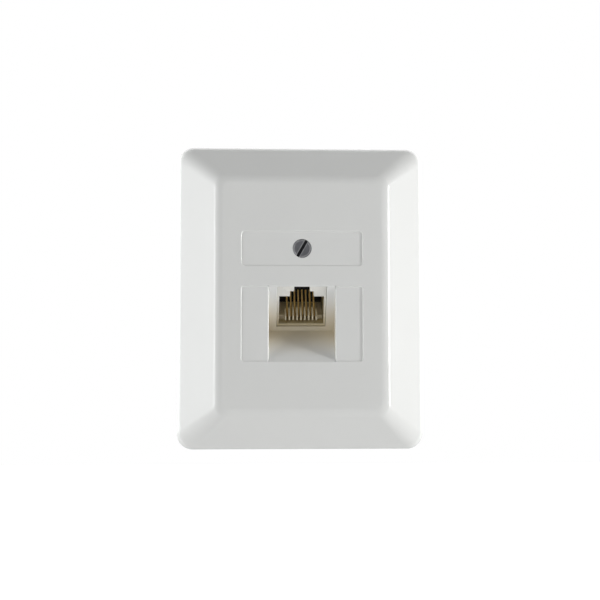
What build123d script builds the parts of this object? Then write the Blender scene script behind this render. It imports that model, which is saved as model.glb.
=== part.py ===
"""Surface-mount wall socket with one eight-contact network jack.

X runs to the viewer's right, Z up, and the front faces -Y. The wall is the plane Y = 0,
and the origin is the centre of the back. All lengths are in millimetres.
"""

from math import atan2, cos, radians, sin, tan
import os

from build123d import *

os.makedirs("parts", exist_ok=True)

# Cover: outer form
cover_width = 65.0
cover_height = 80.0
side_bevel_width = 10.75
end_bevel_width = 9.5
bevel_depth = 9.0
plan_corner_r = 4.2
front_corner_r = 3.0
outer_edge_r = 3.6
front_edge_r = 4.0
cover_wall = 2.0

# Label field and jack field, shallow recesses in the front
field_width = 31.8
field_depth = 0.25
label_field_height = 9.4
label_field_z = 12.1
label_field_corner_r = 1.0
jack_field_height = 19.7
field_gap = 4.95
jack_field_corner_r = 0.6
field_edge_r = 0.2
field_straight_wall = 0.05

# Hood: the V-shaped recess in which the jack looks down
hood_width = 17.2
hood_tilt = 30.0
hood_recess_depth = 6.55
hood_wall = 1.5
hood_edge_r = 0.4
ramp_foot = 0.05

# Jack mouth, measured down the slanted face from its top edge
mouth_top = 0.35
notch_width = 4.06
notch_drop = 1.55
step_width = 6.2
step_drop = 1.45
cavity_width = 11.7
cavity_drop = 6.75
comb_drop = 1.1
lip_thickness = 0.65

# Jack housing
jack_setback = 0.4
jack_depth = 12.0
jack_foot_gap = 1.1077
collar_length = 2.6
collar_wall = 0.5
body_side_wall = 1.55
body_top_wall = 0.65
body_floor = 1.4
latch_rear_wall = 2.5
cap_tongue_length = 1.0
cap_peg_r = 0.9
cap_peg_x = 5.0
cap_peg_rise = 3.66
pillar_relief_gap = 0.3

# Contact comb and contact wires
contact_count = 8
contact_pitch = 1.016
wire_r = 0.23
wire_turn_r = 0.62
wire_arm_gap = 1.0
wire_arm_tilt = 32.0
wire_bend_r = 0.45
wire_turn_setback = 1.05
row_spacing = 2.54
first_row_rise = 0.6
tail_length = 0.6
comb_plate_thickness = 0.6
comb_setback = 2.8
comb_slot_depth = 1.6
rib_thickness = 0.4
rib_height = 1.9
rib_length = 4.4
rib_front_step = 1.95
outer_rib_share = 0.7
comb_foot_width = 1.4

# Circuit board and its screws
board_side_gap = 4.8
board_bottom_z = -14.0
board_thickness = 1.5
board_stand = 2.7
board_corner_r = 1.0
board_post_r = 2.2
board_screw_gap = 1.1
board_screw_z = -10.9
rest_post_drop = 0.6
small_screw_r = 1.1
small_head_r = 2.0
small_head_height = 1.5
small_slot_width = 0.6
small_slot_depth = 0.7

# Terminal blocks, four ways each
ways_per_block = 4
way_pitch = 5.0
block_width = 9.0
block_depth = 8.5
block_edge_margin = 1.7
block_z = -1.6
block_end_margin = 0.8
channel_width = 1.6
channel_depth = 3.6
contact_thickness = 0.6
contact_width = 3.0
contact_front_gap = 1.0
contact_slot_width = 0.5
contact_slot_depth = 4.0
contact_tail_width = 1.0

# Base plate
base_thickness = 1.6
base_rim_height = 3.0
base_rim_thickness = 1.2
mount_spacing = 60.0
mount_slot_width = 4.2
mount_slot_length = 8.0
mount_rim = 1.6
mount_rim_height = 1.0
cable_opening_width = 16.0
cable_opening_height = 8.0
cable_opening_z = -19.6

# Cover screw, its retainer, the pillar and the insert
screw_r = 1.5
screw_head_r = 2.4
screw_head_height = 1.6
screw_length = 10.2
screw_slot_width = 0.75
screw_slot_depth = 0.8
screw_slot_angle = 60.0
screw_sink = 0.35
head_clearance = 0.05
boss_r = 3.6
boss_length = 6.0
retainer_r = 2.7
retainer_thickness = 0.8
retainer_gap = 0.2
pillar_r = 3.0
insert_r = 1.95
insert_length = 5.0
insert_run_out = 2.0

# Cable clamp
clamp_side_distance = 15.0
clamp_edge_distance = 10.5
clamp_span = 13.2
clamp_height = 6.0
clamp_thickness = 1.6
clamp_arch_width = 7.0
clamp_arch_rise = 2.2
clamp_pad_height = 3.4
clamp_pad_r = 2.6
knockout_width = 9.0
knockout_height = 7.0
knockout_groove = 0.5

# Clearances
fit_gap = 0.06
base_gap = 0.5
thread_gap = 0.03
pocket_gap = 0.1
hole_gap = 0.15

# Depths down the slanted face
step_top = mouth_top + notch_drop
cavity_top = step_top + step_drop
comb_top = cavity_top + cavity_drop
cavity_floor = comb_top + comb_drop
collar_bottom = cavity_floor + lip_thickness
body_bottom = cavity_floor + body_floor
body_top = mouth_top - body_top_wall
collar_end = jack_setback + collar_length
latch_room_depth = jack_depth - latch_rear_wall
body_width = cavity_width + 2 * body_side_wall
collar_width = cavity_width + 2 * collar_wall
plate_bottom = comb_top + comb_plate_thickness
wire_run = cavity_floor - wire_r - thread_gap

# Derived places; the cover is as deep as the tilted jack and the board under it need
tilt_cos = cos(radians(hood_tilt))
tilt_sin = sin(radians(hood_tilt))
board_front = board_stand + board_thickness
cover_depth = board_front + jack_foot_gap + body_bottom * tilt_sin + jack_depth * tilt_cos
side_height = cover_depth - bevel_depth
front_y = -cover_depth
field_floor_y = front_y + field_depth
inner_front_y = front_y + cover_wall
front_width = cover_width - 2 * side_bevel_width
flat_width = front_width - 2 * front_edge_r * tan(atan2(bevel_depth, side_bevel_width) / 2)
field_overreach = max(0.0, (field_width - flat_width) / 2)
field_wall = field_depth - front_edge_r + (front_edge_r**2 - field_overreach**2) ** 0.5
front_height = cover_height - 2 * end_bevel_width
jack_field_top = label_field_z - label_field_height / 2 - field_gap
jack_field_bottom = jack_field_top - jack_field_height
crease_y = front_y + hood_recess_depth
crease_z = jack_field_top - hood_recess_depth / tan(radians(hood_tilt))
board_face_y = -board_front
board_back_y = board_face_y + board_thickness
base_width = cover_width - 2 * cover_wall - 2 * base_gap
base_height = cover_height - 2 * cover_wall - 2 * base_gap
board_width = base_width - 2 * base_rim_thickness - 2 * board_side_gap
block_x = board_width / 2 - block_edge_margin - block_width / 2
board_post_x = block_x - block_width / 2 - small_head_r - board_screw_gap
clamp_x = clamp_side_distance - base_width / 2
clamp_z = clamp_edge_distance - base_height / 2


def front_plane(height):
    """Plane parallel to the wall, at a height above it, facing the viewer."""
    return Plane.XZ.offset(height)


def wall_step(slope):
    """Shift along the front of a bevel's edge from the outside of the cover's wall to its inside."""
    return cover_wall * (1 - (1 + slope**2) ** 0.5) / slope


def jack_point(down, deep):
    """Point (Y, Z) at a distance down the slanted face and a depth along the jack."""
    y = front_y + down * tilt_sin + deep * tilt_cos
    z = jack_field_top - down * tilt_cos + deep * tilt_sin
    return (y, z)


def jack_plane(deep):
    """Plane across the jack at a depth behind the slanted face; its Y axis runs up the face."""
    y, z = jack_point(0, deep)
    return Plane(origin=(0, y, z), x_dir=(1, 0, 0), z_dir=(0, -tilt_cos, -tilt_sin))


def band(width, top, bottom, x=0):
    """Rectangle in a jack plane between two distances down the face."""
    with Locations((x, -(top + bottom) / 2)):
        Rectangle(width, bottom - top)


def finish(builder, name):
    """Label a finished piece and write its file."""
    builder.part.label = name
    export_step(builder.part, f"parts/{name}.step")


# Cover
with BuildPart() as cover:
    with BuildSketch(front_plane(0)):
        RectangleRounded(cover_width, cover_height, plan_corner_r)
    extrude(amount=side_height)
    with BuildSketch(front_plane(side_height)):
        RectangleRounded(cover_width, cover_height, plan_corner_r)
    with BuildSketch(front_plane(cover_depth)):
        RectangleRounded(front_width, front_height, front_corner_r)
    loft()
    front_loop = cover.edges().group_by(Axis.Y)[0]
    fillet(front_loop, front_edge_r)
    side_loop = cover.edges().filter_by_position(Axis.Y, -side_height - 0.01, -side_height + 0.01)
    fillet(side_loop, outer_edge_r)

    # Hollow with an even wall behind the sides, the bevels and the front
    side_slope = bevel_depth / side_bevel_width
    end_slope = bevel_depth / end_bevel_width
    inner_width = cover_width - 2 * cover_wall
    inner_height = cover_height - 2 * cover_wall
    inner_front_width = front_width + 2 * wall_step(side_slope)
    inner_front_height = front_height + 2 * wall_step(end_slope)
    inner_bevel_depth = (inner_width - inner_front_width) / 2 * side_slope
    inner_side = cover_depth - cover_wall - inner_bevel_depth
    inner_corner_r = plan_corner_r - cover_wall
    with BuildSketch(front_plane(0)):
        RectangleRounded(inner_width, inner_height, inner_corner_r)
    extrude(amount=inner_side, mode=Mode.SUBTRACT)
    with BuildSketch(front_plane(inner_side)):
        RectangleRounded(inner_width, inner_height, inner_corner_r)
    with BuildSketch(front_plane(cover_depth - cover_wall)):
        RectangleRounded(inner_front_width, inner_front_height, inner_corner_r / 2)
    loft(mode=Mode.SUBTRACT)

    # Skin of the hood on the inside
    with BuildSketch(Plane.YZ, mode=Mode.PRIVATE) as hood_profile:
        with BuildLine():
            Polyline(
                (front_y - 1, jack_field_top),
                (front_y, jack_field_top),
                (crease_y, crease_z),
                (field_floor_y, jack_field_bottom + ramp_foot),
                (front_y - 1, jack_field_bottom + ramp_foot),
                close=True,
            )
        make_face()
    with BuildSketch(Plane.YZ) as skin_profile:
        add(hood_profile.sketch_local)
        offset(amount=hood_wall, kind=Kind.INTERSECTION)
        with Locations((front_y + cover_wall / 2 - cover_depth, 0)):
            Rectangle(2 * cover_depth, 2 * cover_height, mode=Mode.SUBTRACT)
    extrude(amount=hood_width / 2 + hood_wall, both=True)

    # Boss for the cover screw
    with BuildSketch(front_plane(cover_depth - cover_wall - boss_length)):
        with Locations((0, label_field_z)):
            Circle(boss_r)
    extrude(amount=boss_length + cover_wall / 2)

    # Label field and jack field
    with BuildSketch(front_plane(cover_depth)):
        with Locations((0, label_field_z)):
            RectangleRounded(field_width, label_field_height, label_field_corner_r)
        with Locations((0, (jack_field_top + jack_field_bottom) / 2)):
            RectangleRounded(field_width, jack_field_height, jack_field_corner_r)
    extrude(amount=-field_depth, mode=Mode.SUBTRACT)
    field_edges = (
        cover.edges()
        .filter_by_position(Axis.Y, front_y - 0.01, front_y + 0.01)
        .filter_by_position(Axis.X, -field_width / 2 - 0.01, field_width / 2 + 0.01)
        .filter_by_position(Axis.Z, jack_field_bottom - 0.01, label_field_z + label_field_height / 2 + 0.01)
    )
    fillet(field_edges, min(field_edge_r, field_wall - field_straight_wall))

    # Hood recess with its slanted wall and ramp
    extrude(hood_profile.sketch, amount=hood_width / 2, both=True, mode=Mode.SUBTRACT)
    cheek_edges = (
        cover.edges()
        .filter_by(Axis.Z)
        .filter_by_position(Axis.Y, field_floor_y - 0.01, field_floor_y + 0.01)
        .filter_by_position(Axis.X, -hood_width / 2 - 0.01, hood_width / 2 + 0.01)
    )
    fillet(cheek_edges, hood_edge_r)

    # Cut-out for the collar of the jack
    with BuildSketch(jack_plane(-1)):
        band(collar_width + 2 * fit_gap, mouth_top, collar_bottom + fit_gap)
    extrude(amount=-(1 + collar_end + fit_gap), mode=Mode.SUBTRACT)

    # Counterbore and hole for the cover screw
    with BuildSketch(front_plane(cover_depth)):
        with Locations((0, label_field_z)):
            Circle(screw_head_r + head_clearance)
    head_room = field_depth + screw_sink + screw_head_height
    extrude(amount=-head_room, mode=Mode.SUBTRACT)
    with BuildSketch(front_plane(cover_depth)):
        with Locations((0, label_field_z)):
            Circle(screw_r + hole_gap)
    extrude(amount=-(cover_wall + boss_length + 1), mode=Mode.SUBTRACT)

    # Scored knock-out in the lower edge for a surface cable
    with BuildSketch(Plane(origin=(clamp_x, 0, -cover_height / 2), x_dir=(1, 0, 0), z_dir=(0, 0, -1))):
        with Locations((0, knockout_height / 2)):
            Rectangle(knockout_width, knockout_height)
            Rectangle(knockout_width - 2 * knockout_groove, knockout_height + 2, mode=Mode.SUBTRACT)
        with Locations((0, knockout_height - knockout_groove / 2)):
            Rectangle(knockout_width, knockout_groove)
    extrude(amount=-knockout_groove, mode=Mode.SUBTRACT)
finish(cover, "cover")

# Cover screw: slotted head, shank in one solid
head_face_y = field_floor_y + screw_sink
head_seat_y = head_face_y + screw_head_height
with BuildPart() as cover_screw:
    with BuildSketch(front_plane(-head_seat_y)):
        with Locations((0, label_field_z)):
            Circle(screw_head_r)
    extrude(amount=screw_head_height)
    fillet(cover_screw.edges().group_by(Axis.Y)[0], 0.3)
    with BuildSketch(front_plane(-head_seat_y)):
        with Locations((0, label_field_z)):
            Circle(screw_r)
    extrude(amount=-screw_length)
    chamfer(cover_screw.edges().group_by(Axis.Y)[-1], 0.4)
    with BuildSketch(front_plane(-head_face_y)):
        with Locations(Location((0, label_field_z), screw_slot_angle)):
            Rectangle(2 * screw_head_r + 1, screw_slot_width)
    extrude(amount=-screw_slot_depth, mode=Mode.SUBTRACT)
finish(cover_screw, "cover_screw")

# Retainer: the washer that holds the screw in the cover's boss
boss_end_y = inner_front_y + boss_length
with BuildPart() as screw_retainer:
    with BuildSketch(front_plane(-boss_end_y)):
        with Locations((0, label_field_z)):
            Circle(retainer_r)
            Circle(screw_r + thread_gap, mode=Mode.SUBTRACT)
    extrude(amount=-retainer_thickness)
finish(screw_retainer, "screw_retainer")

# Rows of solder holes, and what follows from them
wire_out_y, wire_out_z = jack_point(wire_run, jack_depth)
near_row_z = wire_out_z + first_row_rise
far_row_z = near_row_z + row_spacing
cap_peg_z = far_row_z + cap_peg_rise
rest_post_z = cap_peg_z - rest_post_drop
cap_low_y, cap_low_z = jack_point(body_bottom, jack_depth)
cap_high_y, cap_high_z = jack_point(body_top, jack_depth)

# Base plate with its pillar, posts, pads and openings
pillar_height = -(boss_end_y + retainer_thickness + retainer_gap)
board_post_height = -board_back_y
clamp_pad_top = base_thickness + clamp_pad_height
clamp_screw_spots = [(clamp_x - clamp_span / 2, clamp_z), (clamp_x + clamp_span / 2, clamp_z)]
board_screw_spots = [(-board_post_x, board_screw_z), (board_post_x, board_screw_z)]
rest_post_spots = [(-board_post_x, rest_post_z), (board_post_x, rest_post_z)]
mount_spots = [(0, mount_spacing / 2), (0, -mount_spacing / 2)]
base_corner_r = plan_corner_r - cover_wall - base_gap / 2
insert_end = pillar_height - insert_length
small_screw_floor = 0.5
with BuildPart() as base_plate:
    with BuildSketch(front_plane(0)):
        RectangleRounded(base_width, base_height, base_corner_r)
    extrude(amount=base_thickness)

    # Rim that stiffens the plate inside the cover
    with BuildSketch(front_plane(base_thickness)):
        RectangleRounded(base_width, base_height, base_corner_r)
        RectangleRounded(
            base_width - 2 * base_rim_thickness,
            base_height - 2 * base_rim_thickness,
            base_corner_r / 2,
            mode=Mode.SUBTRACT,
        )
        with Locations((clamp_x, -base_height / 2)):
            Rectangle(knockout_width, 4 * base_rim_thickness, mode=Mode.SUBTRACT)
    extrude(amount=base_rim_height)

    # Pillar for the cover screw, with a rib on each side
    with BuildSketch(front_plane(0)):
        with Locations((0, label_field_z)):
            Circle(pillar_r)
    extrude(amount=pillar_height)
    with BuildSketch(front_plane(base_thickness)):
        with Locations((0, label_field_z + pillar_r)):
            Rectangle(base_rim_thickness, 2 * pillar_r)
    extrude(amount=insert_end - base_thickness)

    # Relief of the pillar beside the jack
    with BuildSketch(front_plane(base_thickness)):
        with Locations((0, cap_high_z + pillar_relief_gap - pillar_r)):
            Rectangle(2 * pillar_r, 2 * pillar_r)
    extrude(amount=pillar_height, mode=Mode.SUBTRACT)

    # Posts under the circuit board
    with BuildSketch(front_plane(0)):
        with Locations(*board_screw_spots, *rest_post_spots):
            Circle(board_post_r)
    extrude(amount=board_post_height)

    # Pads of the cable clamp
    with BuildSketch(front_plane(0)):
        with Locations(*clamp_screw_spots):
            Circle(clamp_pad_r)
    extrude(amount=clamp_pad_top)

    # Raised rims round the wall screws
    with BuildSketch(front_plane(base_thickness)):
        with Locations(*mount_spots):
            SlotOverall(mount_slot_length + 2 * mount_rim, mount_slot_width + 2 * mount_rim, rotation=90)
    extrude(amount=mount_rim_height)

    # Openings: wall screws, rear cable, insert and small screws
    with BuildSketch(front_plane(0)):
        with Locations(*mount_spots):
            SlotOverall(mount_slot_length, mount_slot_width, rotation=90)
        with Locations((0, cable_opening_z)):
            RectangleRounded(cable_opening_width, cable_opening_height, 1)
    extrude(amount=base_thickness + mount_rim_height, mode=Mode.SUBTRACT)
    with BuildSketch(front_plane(insert_end - insert_run_out)):
        with Locations((0, label_field_z)):
            Circle(screw_r + hole_gap)
    extrude(amount=insert_length + insert_run_out, mode=Mode.SUBTRACT)
    with BuildSketch(front_plane(insert_end)):
        with Locations((0, label_field_z)):
            Circle(insert_r)
    extrude(amount=insert_length, mode=Mode.SUBTRACT)
    with BuildSketch(front_plane(small_screw_floor)):
        with Locations(*board_screw_spots, *clamp_screw_spots):
            Circle(small_screw_r + thread_gap)
    extrude(amount=clamp_pad_top, mode=Mode.SUBTRACT)
finish(base_plate, "base_plate")

# Brass insert in the pillar
with BuildPart() as threaded_insert:
    with BuildSketch(front_plane(insert_end)):
        with Locations((0, label_field_z)):
            Circle(insert_r)
            Circle(screw_r + thread_gap, mode=Mode.SUBTRACT)
    extrude(amount=insert_length)
finish(threaded_insert, "threaded_insert")

# Jack housing: collar, body, cavity and latch steps
with BuildPart() as jack_housing:
    with BuildSketch(jack_plane(jack_setback)):
        band(collar_width, mouth_top + fit_gap, collar_bottom)
    extrude(amount=-collar_length)
    with BuildSketch(jack_plane(collar_end)):
        band(body_width, body_top, body_bottom)
    extrude(amount=-(jack_depth - collar_end))
    with BuildSketch(jack_plane(jack_setback)):
        band(cavity_width, cavity_top, cavity_floor)
    extrude(amount=-(jack_depth - jack_setback), mode=Mode.SUBTRACT)
    with BuildSketch(jack_plane(jack_setback)):
        band(notch_width, mouth_top, cavity_top)
        band(step_width, step_top, cavity_top)
    extrude(amount=-(latch_room_depth - jack_setback), mode=Mode.SUBTRACT)
finish(jack_housing, "jack_housing")

# Rear cap: a wedge between the tilted housing and the board, with two pegs
near_wire_deep = (near_row_z - jack_field_top + wire_run * tilt_cos) / tilt_sin
pocket_width = contact_count * contact_pitch + 2 * wire_r
cap_peg_spots = [(-cap_peg_x, cap_peg_z), (cap_peg_x, cap_peg_z)]
with BuildPart() as jack_rear_cap:
    with BuildSketch(Plane.YZ):
        with BuildLine():
            Polyline(
                (cap_low_y, cap_low_z),
                (cap_high_y, cap_high_z),
                (board_face_y, cap_high_z),
                (board_face_y, cap_low_z),
                close=True,
            )
        make_face()
    extrude(amount=body_width / 2, both=True)
    with BuildSketch(jack_plane(jack_depth)):
        band(cavity_width - 2 * fit_gap, cavity_top + fit_gap, comb_top - fit_gap)
    extrude(amount=cap_tongue_length)
    with BuildSketch(Plane.YZ):
        with Locations(((wire_out_y - 2 * wire_r + board_face_y) / 2, (wire_out_z + far_row_z) / 2)):
            Rectangle(board_face_y - wire_out_y + 2 * wire_r, far_row_z - wire_out_z + 6 * wire_r)
    extrude(amount=pocket_width / 2, both=True, mode=Mode.SUBTRACT)
    with BuildSketch(front_plane(board_front)):
        with Locations(*cap_peg_spots):
            Circle(cap_peg_r)
    extrude(amount=-board_thickness)
finish(jack_rear_cap, "jack_rear_cap")

# Contact comb: a slotted plate on two feet, and nine ribs between the wires
rib_count = contact_count + 1
comb_front = jack_setback + comb_setback
slot_end = comb_front + comb_slot_depth
slots_width = contact_count * contact_pitch
rib_front = comb_front - rib_front_step
rib_bottom = plate_bottom
comb_width = cavity_width - 2 * pocket_gap
with BuildPart() as contact_comb:
    with BuildSketch(jack_plane(comb_front)):
        band(comb_width, comb_top, plate_bottom)
        foot_x = comb_width / 2 - comb_foot_width / 2
        band(comb_foot_width, comb_top, cavity_floor, x=-foot_x)
        band(comb_foot_width, comb_top, cavity_floor, x=foot_x)
    extrude(amount=-(jack_depth - comb_front))
    with BuildSketch(jack_plane(comb_front)):
        band(slots_width, comb_top, plate_bottom)
    extrude(amount=-comb_slot_depth, mode=Mode.SUBTRACT)
    rib_end = rib_front + rib_length
    for k in range(rib_count):
        rib_x = (k - (rib_count - 1) / 2) * contact_pitch
        share = outer_rib_share if k in (0, rib_count - 1) else 1
        rib_top = comb_top - rib_height * share
        with BuildSketch(Plane.YZ.offset(rib_x)):
            with BuildLine():
                Polyline(
                    jack_point(rib_bottom, rib_front),
                    jack_point(comb_top - rib_height * share / 3, rib_front),
                    jack_point(rib_top, rib_end - rib_length / 3),
                    jack_point(comb_top, rib_end),
                    jack_point(rib_bottom, rib_end),
                    close=True,
                )
            make_face()
        extrude(amount=rib_thickness / 2, both=True)
finish(contact_comb, "contact_comb")

# Contact wires: spring arm, turn at the comb's foot, run to the rear, bend to the board
turn_deep = slot_end - wire_turn_setback + wire_turn_r
turn_angle = 180 - wire_arm_tilt
arm_start_down = wire_run - wire_turn_r * (1 - cos(radians(turn_angle)))
arm_start_deep = turn_deep - wire_turn_r * sin(radians(turn_angle))
arm_reach = jack_depth - cap_tongue_length - wire_arm_gap - arm_start_deep
wire_arm_length = arm_reach / cos(radians(wire_arm_tilt))
arm_end_down = arm_start_down - wire_arm_length * sin(radians(wire_arm_tilt))
arm_end_deep = arm_start_deep + wire_arm_length * cos(radians(wire_arm_tilt))
turn_corner_deep = turn_deep - wire_turn_r * tan(radians(turn_angle / 2))
near_tail_end = board_back_y + tail_length
far_wire_deep = near_wire_deep - wire_bend_r
for k in range(contact_count):
    wire_x = (k - (contact_count - 1) / 2) * contact_pitch
    in_far_row = k % 2 == 1
    start = jack_point(arm_end_down, arm_end_deep)
    corner = jack_point(wire_run, turn_corner_deep)
    if in_far_row:
        rise = jack_point(wire_run, far_wire_deep)
        stops = [start, corner, rise, (rise[0], far_row_z), (near_tail_end, far_row_z)]
        bends = [wire_turn_r, wire_bend_r, wire_bend_r]
    else:
        stops = [start, corner, jack_point(wire_run, near_wire_deep), (near_tail_end, near_row_z)]
        bends = [wire_turn_r, wire_bend_r]
    with BuildPart() as contact_wire:
        with BuildLine(Plane.YZ.offset(wire_x)) as route:
            FilletPolyline(*stops, radius=bends)
        with BuildSketch(Plane(origin=route.line @ 0, z_dir=route.line % 0)):
            Circle(wire_r)
        sweep()
    finish(contact_wire, f"contact_wire_{k + 1}")

# Circuit board
board_top_z = rest_post_z + board_post_r + 2 * fit_gap + cap_peg_r
board_height = board_top_z - board_bottom_z
board_mid_z = (board_top_z + board_bottom_z) / 2
near_holes = [((k - (contact_count - 1) / 2) * contact_pitch, near_row_z) for k in range(0, contact_count, 2)]
far_holes = [((k - (contact_count - 1) / 2) * contact_pitch, far_row_z) for k in range(1, contact_count, 2)]
way_places = [(k - (ways_per_block - 1) / 2) * way_pitch + block_z for k in range(ways_per_block)]
contact_spots = [(side * block_x, z) for side in (-1, 1) for z in way_places]
with BuildPart() as circuit_board:
    with BuildSketch(front_plane(-board_back_y)):
        with Locations((0, board_mid_z)):
            RectangleRounded(board_width, board_height, board_corner_r)
        with Locations(*near_holes, *far_holes):
            Circle(wire_r + hole_gap, mode=Mode.SUBTRACT)
        with Locations(*cap_peg_spots):
            Circle(cap_peg_r + hole_gap / 2, mode=Mode.SUBTRACT)
        with Locations(*board_screw_spots):
            Circle(small_screw_r + hole_gap, mode=Mode.SUBTRACT)
        with Locations(*contact_spots):
            Circle(contact_tail_width / 2 + hole_gap, mode=Mode.SUBTRACT)
    extrude(amount=board_thickness)
finish(circuit_board, "circuit_board")

# Terminal blocks: four wire channels across a pocket for each slotted contact
block_height = ways_per_block * way_pitch + 2 * block_end_margin
block_front = board_front + block_depth
contact_front = block_front - contact_front_gap
pocket_floor = board_front + contact_thickness
for side, block_name in ((-1, "terminal_block_left"), (1, "terminal_block_right")):
    side_x = side * block_x
    way_spots = [(side_x, z) for z in way_places]
    with BuildPart() as terminal_block:
        with BuildSketch(front_plane(board_front)):
            with Locations((side_x, block_z)):
                Rectangle(block_width, block_height)
        extrude(amount=block_depth)
        chamfer(terminal_block.edges().group_by(Axis.Y)[0], block_end_margin / 2)
        with BuildSketch(front_plane(block_front)):
            with Locations(*way_spots):
                Rectangle(block_width, channel_width)
        extrude(amount=-channel_depth, mode=Mode.SUBTRACT)
        with BuildSketch(front_plane(block_front)):
            with Locations(*way_spots):
                Rectangle(contact_thickness + 2 * pocket_gap, contact_width + 2 * pocket_gap)
        extrude(amount=-(block_front - pocket_floor), mode=Mode.SUBTRACT)
        with BuildSketch(front_plane(board_front)):
            with Locations(*way_spots):
                Circle(contact_tail_width / 2 + hole_gap)
        extrude(amount=contact_thickness, mode=Mode.SUBTRACT)
    finish(terminal_block, block_name)

# Slotted contacts of the terminals, each with its tail through the board
contact_tail_end = -board_back_y - tail_length
for number, (spot_x, spot_z) in enumerate(contact_spots, start=1):
    with BuildPart() as terminal_contact:
        with BuildSketch(Plane.YZ.offset(spot_x)):
            with Locations((-(pocket_floor + contact_front) / 2, spot_z)):
                Rectangle(contact_front - pocket_floor, contact_width)
            with Locations((-(contact_front - contact_slot_depth / 2), spot_z)):
                Rectangle(contact_slot_depth, contact_slot_width, mode=Mode.SUBTRACT)
            with Locations((-(pocket_floor + contact_tail_end) / 2, spot_z)):
                Rectangle(pocket_floor - contact_tail_end, contact_tail_width)
        extrude(amount=contact_thickness / 2, both=True)
    finish(terminal_contact, f"terminal_contact_{number}")


def small_screws(seat_height, spots):
    """Pan-head screws with slots, standing with their heads on a seat above the wall."""
    with BuildPart() as screws:
        with BuildSketch(front_plane(seat_height)):
            with Locations(*spots):
                Circle(small_head_r)
        extrude(amount=small_head_height)
        fillet(screws.edges().group_by(Axis.Y)[0], small_head_height / 3)
        with BuildSketch(front_plane(small_screw_floor + fit_gap)):
            with Locations(*spots):
                Circle(small_screw_r)
        extrude(amount=seat_height - small_screw_floor - fit_gap)
        with BuildSketch(front_plane(seat_height + small_head_height)):
            with Locations(*spots):
                Rectangle(2 * small_head_r + 1, small_slot_width)
        extrude(amount=-small_slot_depth, mode=Mode.SUBTRACT)
    return screws


# Screws that hold the board on its posts
finish(small_screws(board_front, board_screw_spots), "board_screws")

# Cable clamp: a bridge on two pads with an arch over the cable
with BuildPart() as cable_clamp:
    with BuildSketch(Plane.XY.offset(clamp_z - clamp_height / 2)):
        with BuildLine():
            half_span = clamp_span / 2 + clamp_pad_r
            half_arch = clamp_arch_width / 2
            seat = -clamp_pad_top
            crown = seat - clamp_arch_rise
            Polyline(
                (clamp_x - half_span, seat),
                (clamp_x - half_arch, seat),
                (clamp_x - half_arch + clamp_arch_rise / 2, crown),
                (clamp_x + half_arch - clamp_arch_rise / 2, crown),
                (clamp_x + half_arch, seat),
                (clamp_x + half_span, seat),
                (clamp_x + half_span, seat - clamp_thickness),
                (clamp_x + half_arch + clamp_thickness / 2, seat - clamp_thickness),
                (clamp_x + half_arch + clamp_thickness / 2 - clamp_arch_rise / 2, crown - clamp_thickness),
                (clamp_x - half_arch - clamp_thickness / 2 + clamp_arch_rise / 2, crown - clamp_thickness),
                (clamp_x - half_arch - clamp_thickness / 2, seat - clamp_thickness),
                (clamp_x - half_span, seat - clamp_thickness),
                close=True,
            )
        make_face()
    extrude(amount=clamp_height)
    with BuildSketch(front_plane(clamp_pad_top)):
        with Locations(*clamp_screw_spots):
            Circle(small_screw_r + hole_gap)
    extrude(amount=clamp_thickness, mode=Mode.SUBTRACT)
finish(cable_clamp, "cable_clamp")

# Screws of the cable clamp
finish(small_screws(clamp_pad_top + clamp_thickness, clamp_screw_spots), "clamp_screws")
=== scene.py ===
"""Surface-mount network wall socket: its modelled pieces, its finishes and a plain studio.

Blender units are metres. X runs to the viewer's right, Z up, the front faces -Y and the
wall is the plane Y = 0.
"""

from math import atan, cos, pi, radians, sin, tan

import bmesh
import bpy
from mathutils import Matrix, Vector


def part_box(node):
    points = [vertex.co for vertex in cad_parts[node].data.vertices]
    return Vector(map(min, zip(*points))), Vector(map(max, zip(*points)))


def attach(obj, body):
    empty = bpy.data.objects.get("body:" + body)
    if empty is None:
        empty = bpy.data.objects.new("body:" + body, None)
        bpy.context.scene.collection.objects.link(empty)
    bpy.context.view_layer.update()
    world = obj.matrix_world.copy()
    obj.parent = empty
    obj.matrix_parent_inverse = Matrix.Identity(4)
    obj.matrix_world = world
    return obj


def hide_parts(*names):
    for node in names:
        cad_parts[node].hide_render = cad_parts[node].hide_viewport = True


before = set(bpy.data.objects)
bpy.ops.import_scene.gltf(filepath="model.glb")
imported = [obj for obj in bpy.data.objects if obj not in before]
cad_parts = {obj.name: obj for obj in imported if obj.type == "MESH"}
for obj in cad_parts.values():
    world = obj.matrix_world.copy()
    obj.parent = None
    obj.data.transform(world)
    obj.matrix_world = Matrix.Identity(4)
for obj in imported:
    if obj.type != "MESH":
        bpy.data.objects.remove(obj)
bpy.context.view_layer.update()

bl_info = {
    "name": "Network Wall Socket",
    "version": (1, 0, 0),
    "blender": (4, 5, 0),
    "location": "View3D > Sidebar > Wall Socket",
    "description": "Models and finishes a surface-mount wall box with one network jack",
    "category": "Add Mesh",
}

COVER_LOW, COVER_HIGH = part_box("cover")
MM = 0.001
CONTACTS = 8

# Lengths in metres: slack in comparing places, an overlap too thin to see, doubled points, a cutting plane
NEAR = 1e-5
LAP = 1e-6
DOUBLED = 1e-6
PLANE_SLACK = 1e-7

# Least cosine for an edge along an axis and for a face to the front, and the least turn at a corner
ALONG = 0.999
FACING = 0.99
CORNER_ANGLE = 0.5


# Properties

def length(name, description, millimetres):
    """A length property with its default given in millimetres."""
    return bpy.props.FloatProperty(
        name=name,
        description=description,
        default=millimetres * MM,
        min=0,
        precision=5,
        unit="LENGTH",
    )


def colour(name, description, value):
    """A colour property."""
    return bpy.props.FloatVectorProperty(
        name=name, description=description, default=value, min=0, max=1, subtype="COLOR"
    )


def share(name, description, value, highest=1.0):
    """A plain number property."""
    return bpy.props.FloatProperty(name=name, description=description, default=value, min=0, max=highest)


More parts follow.
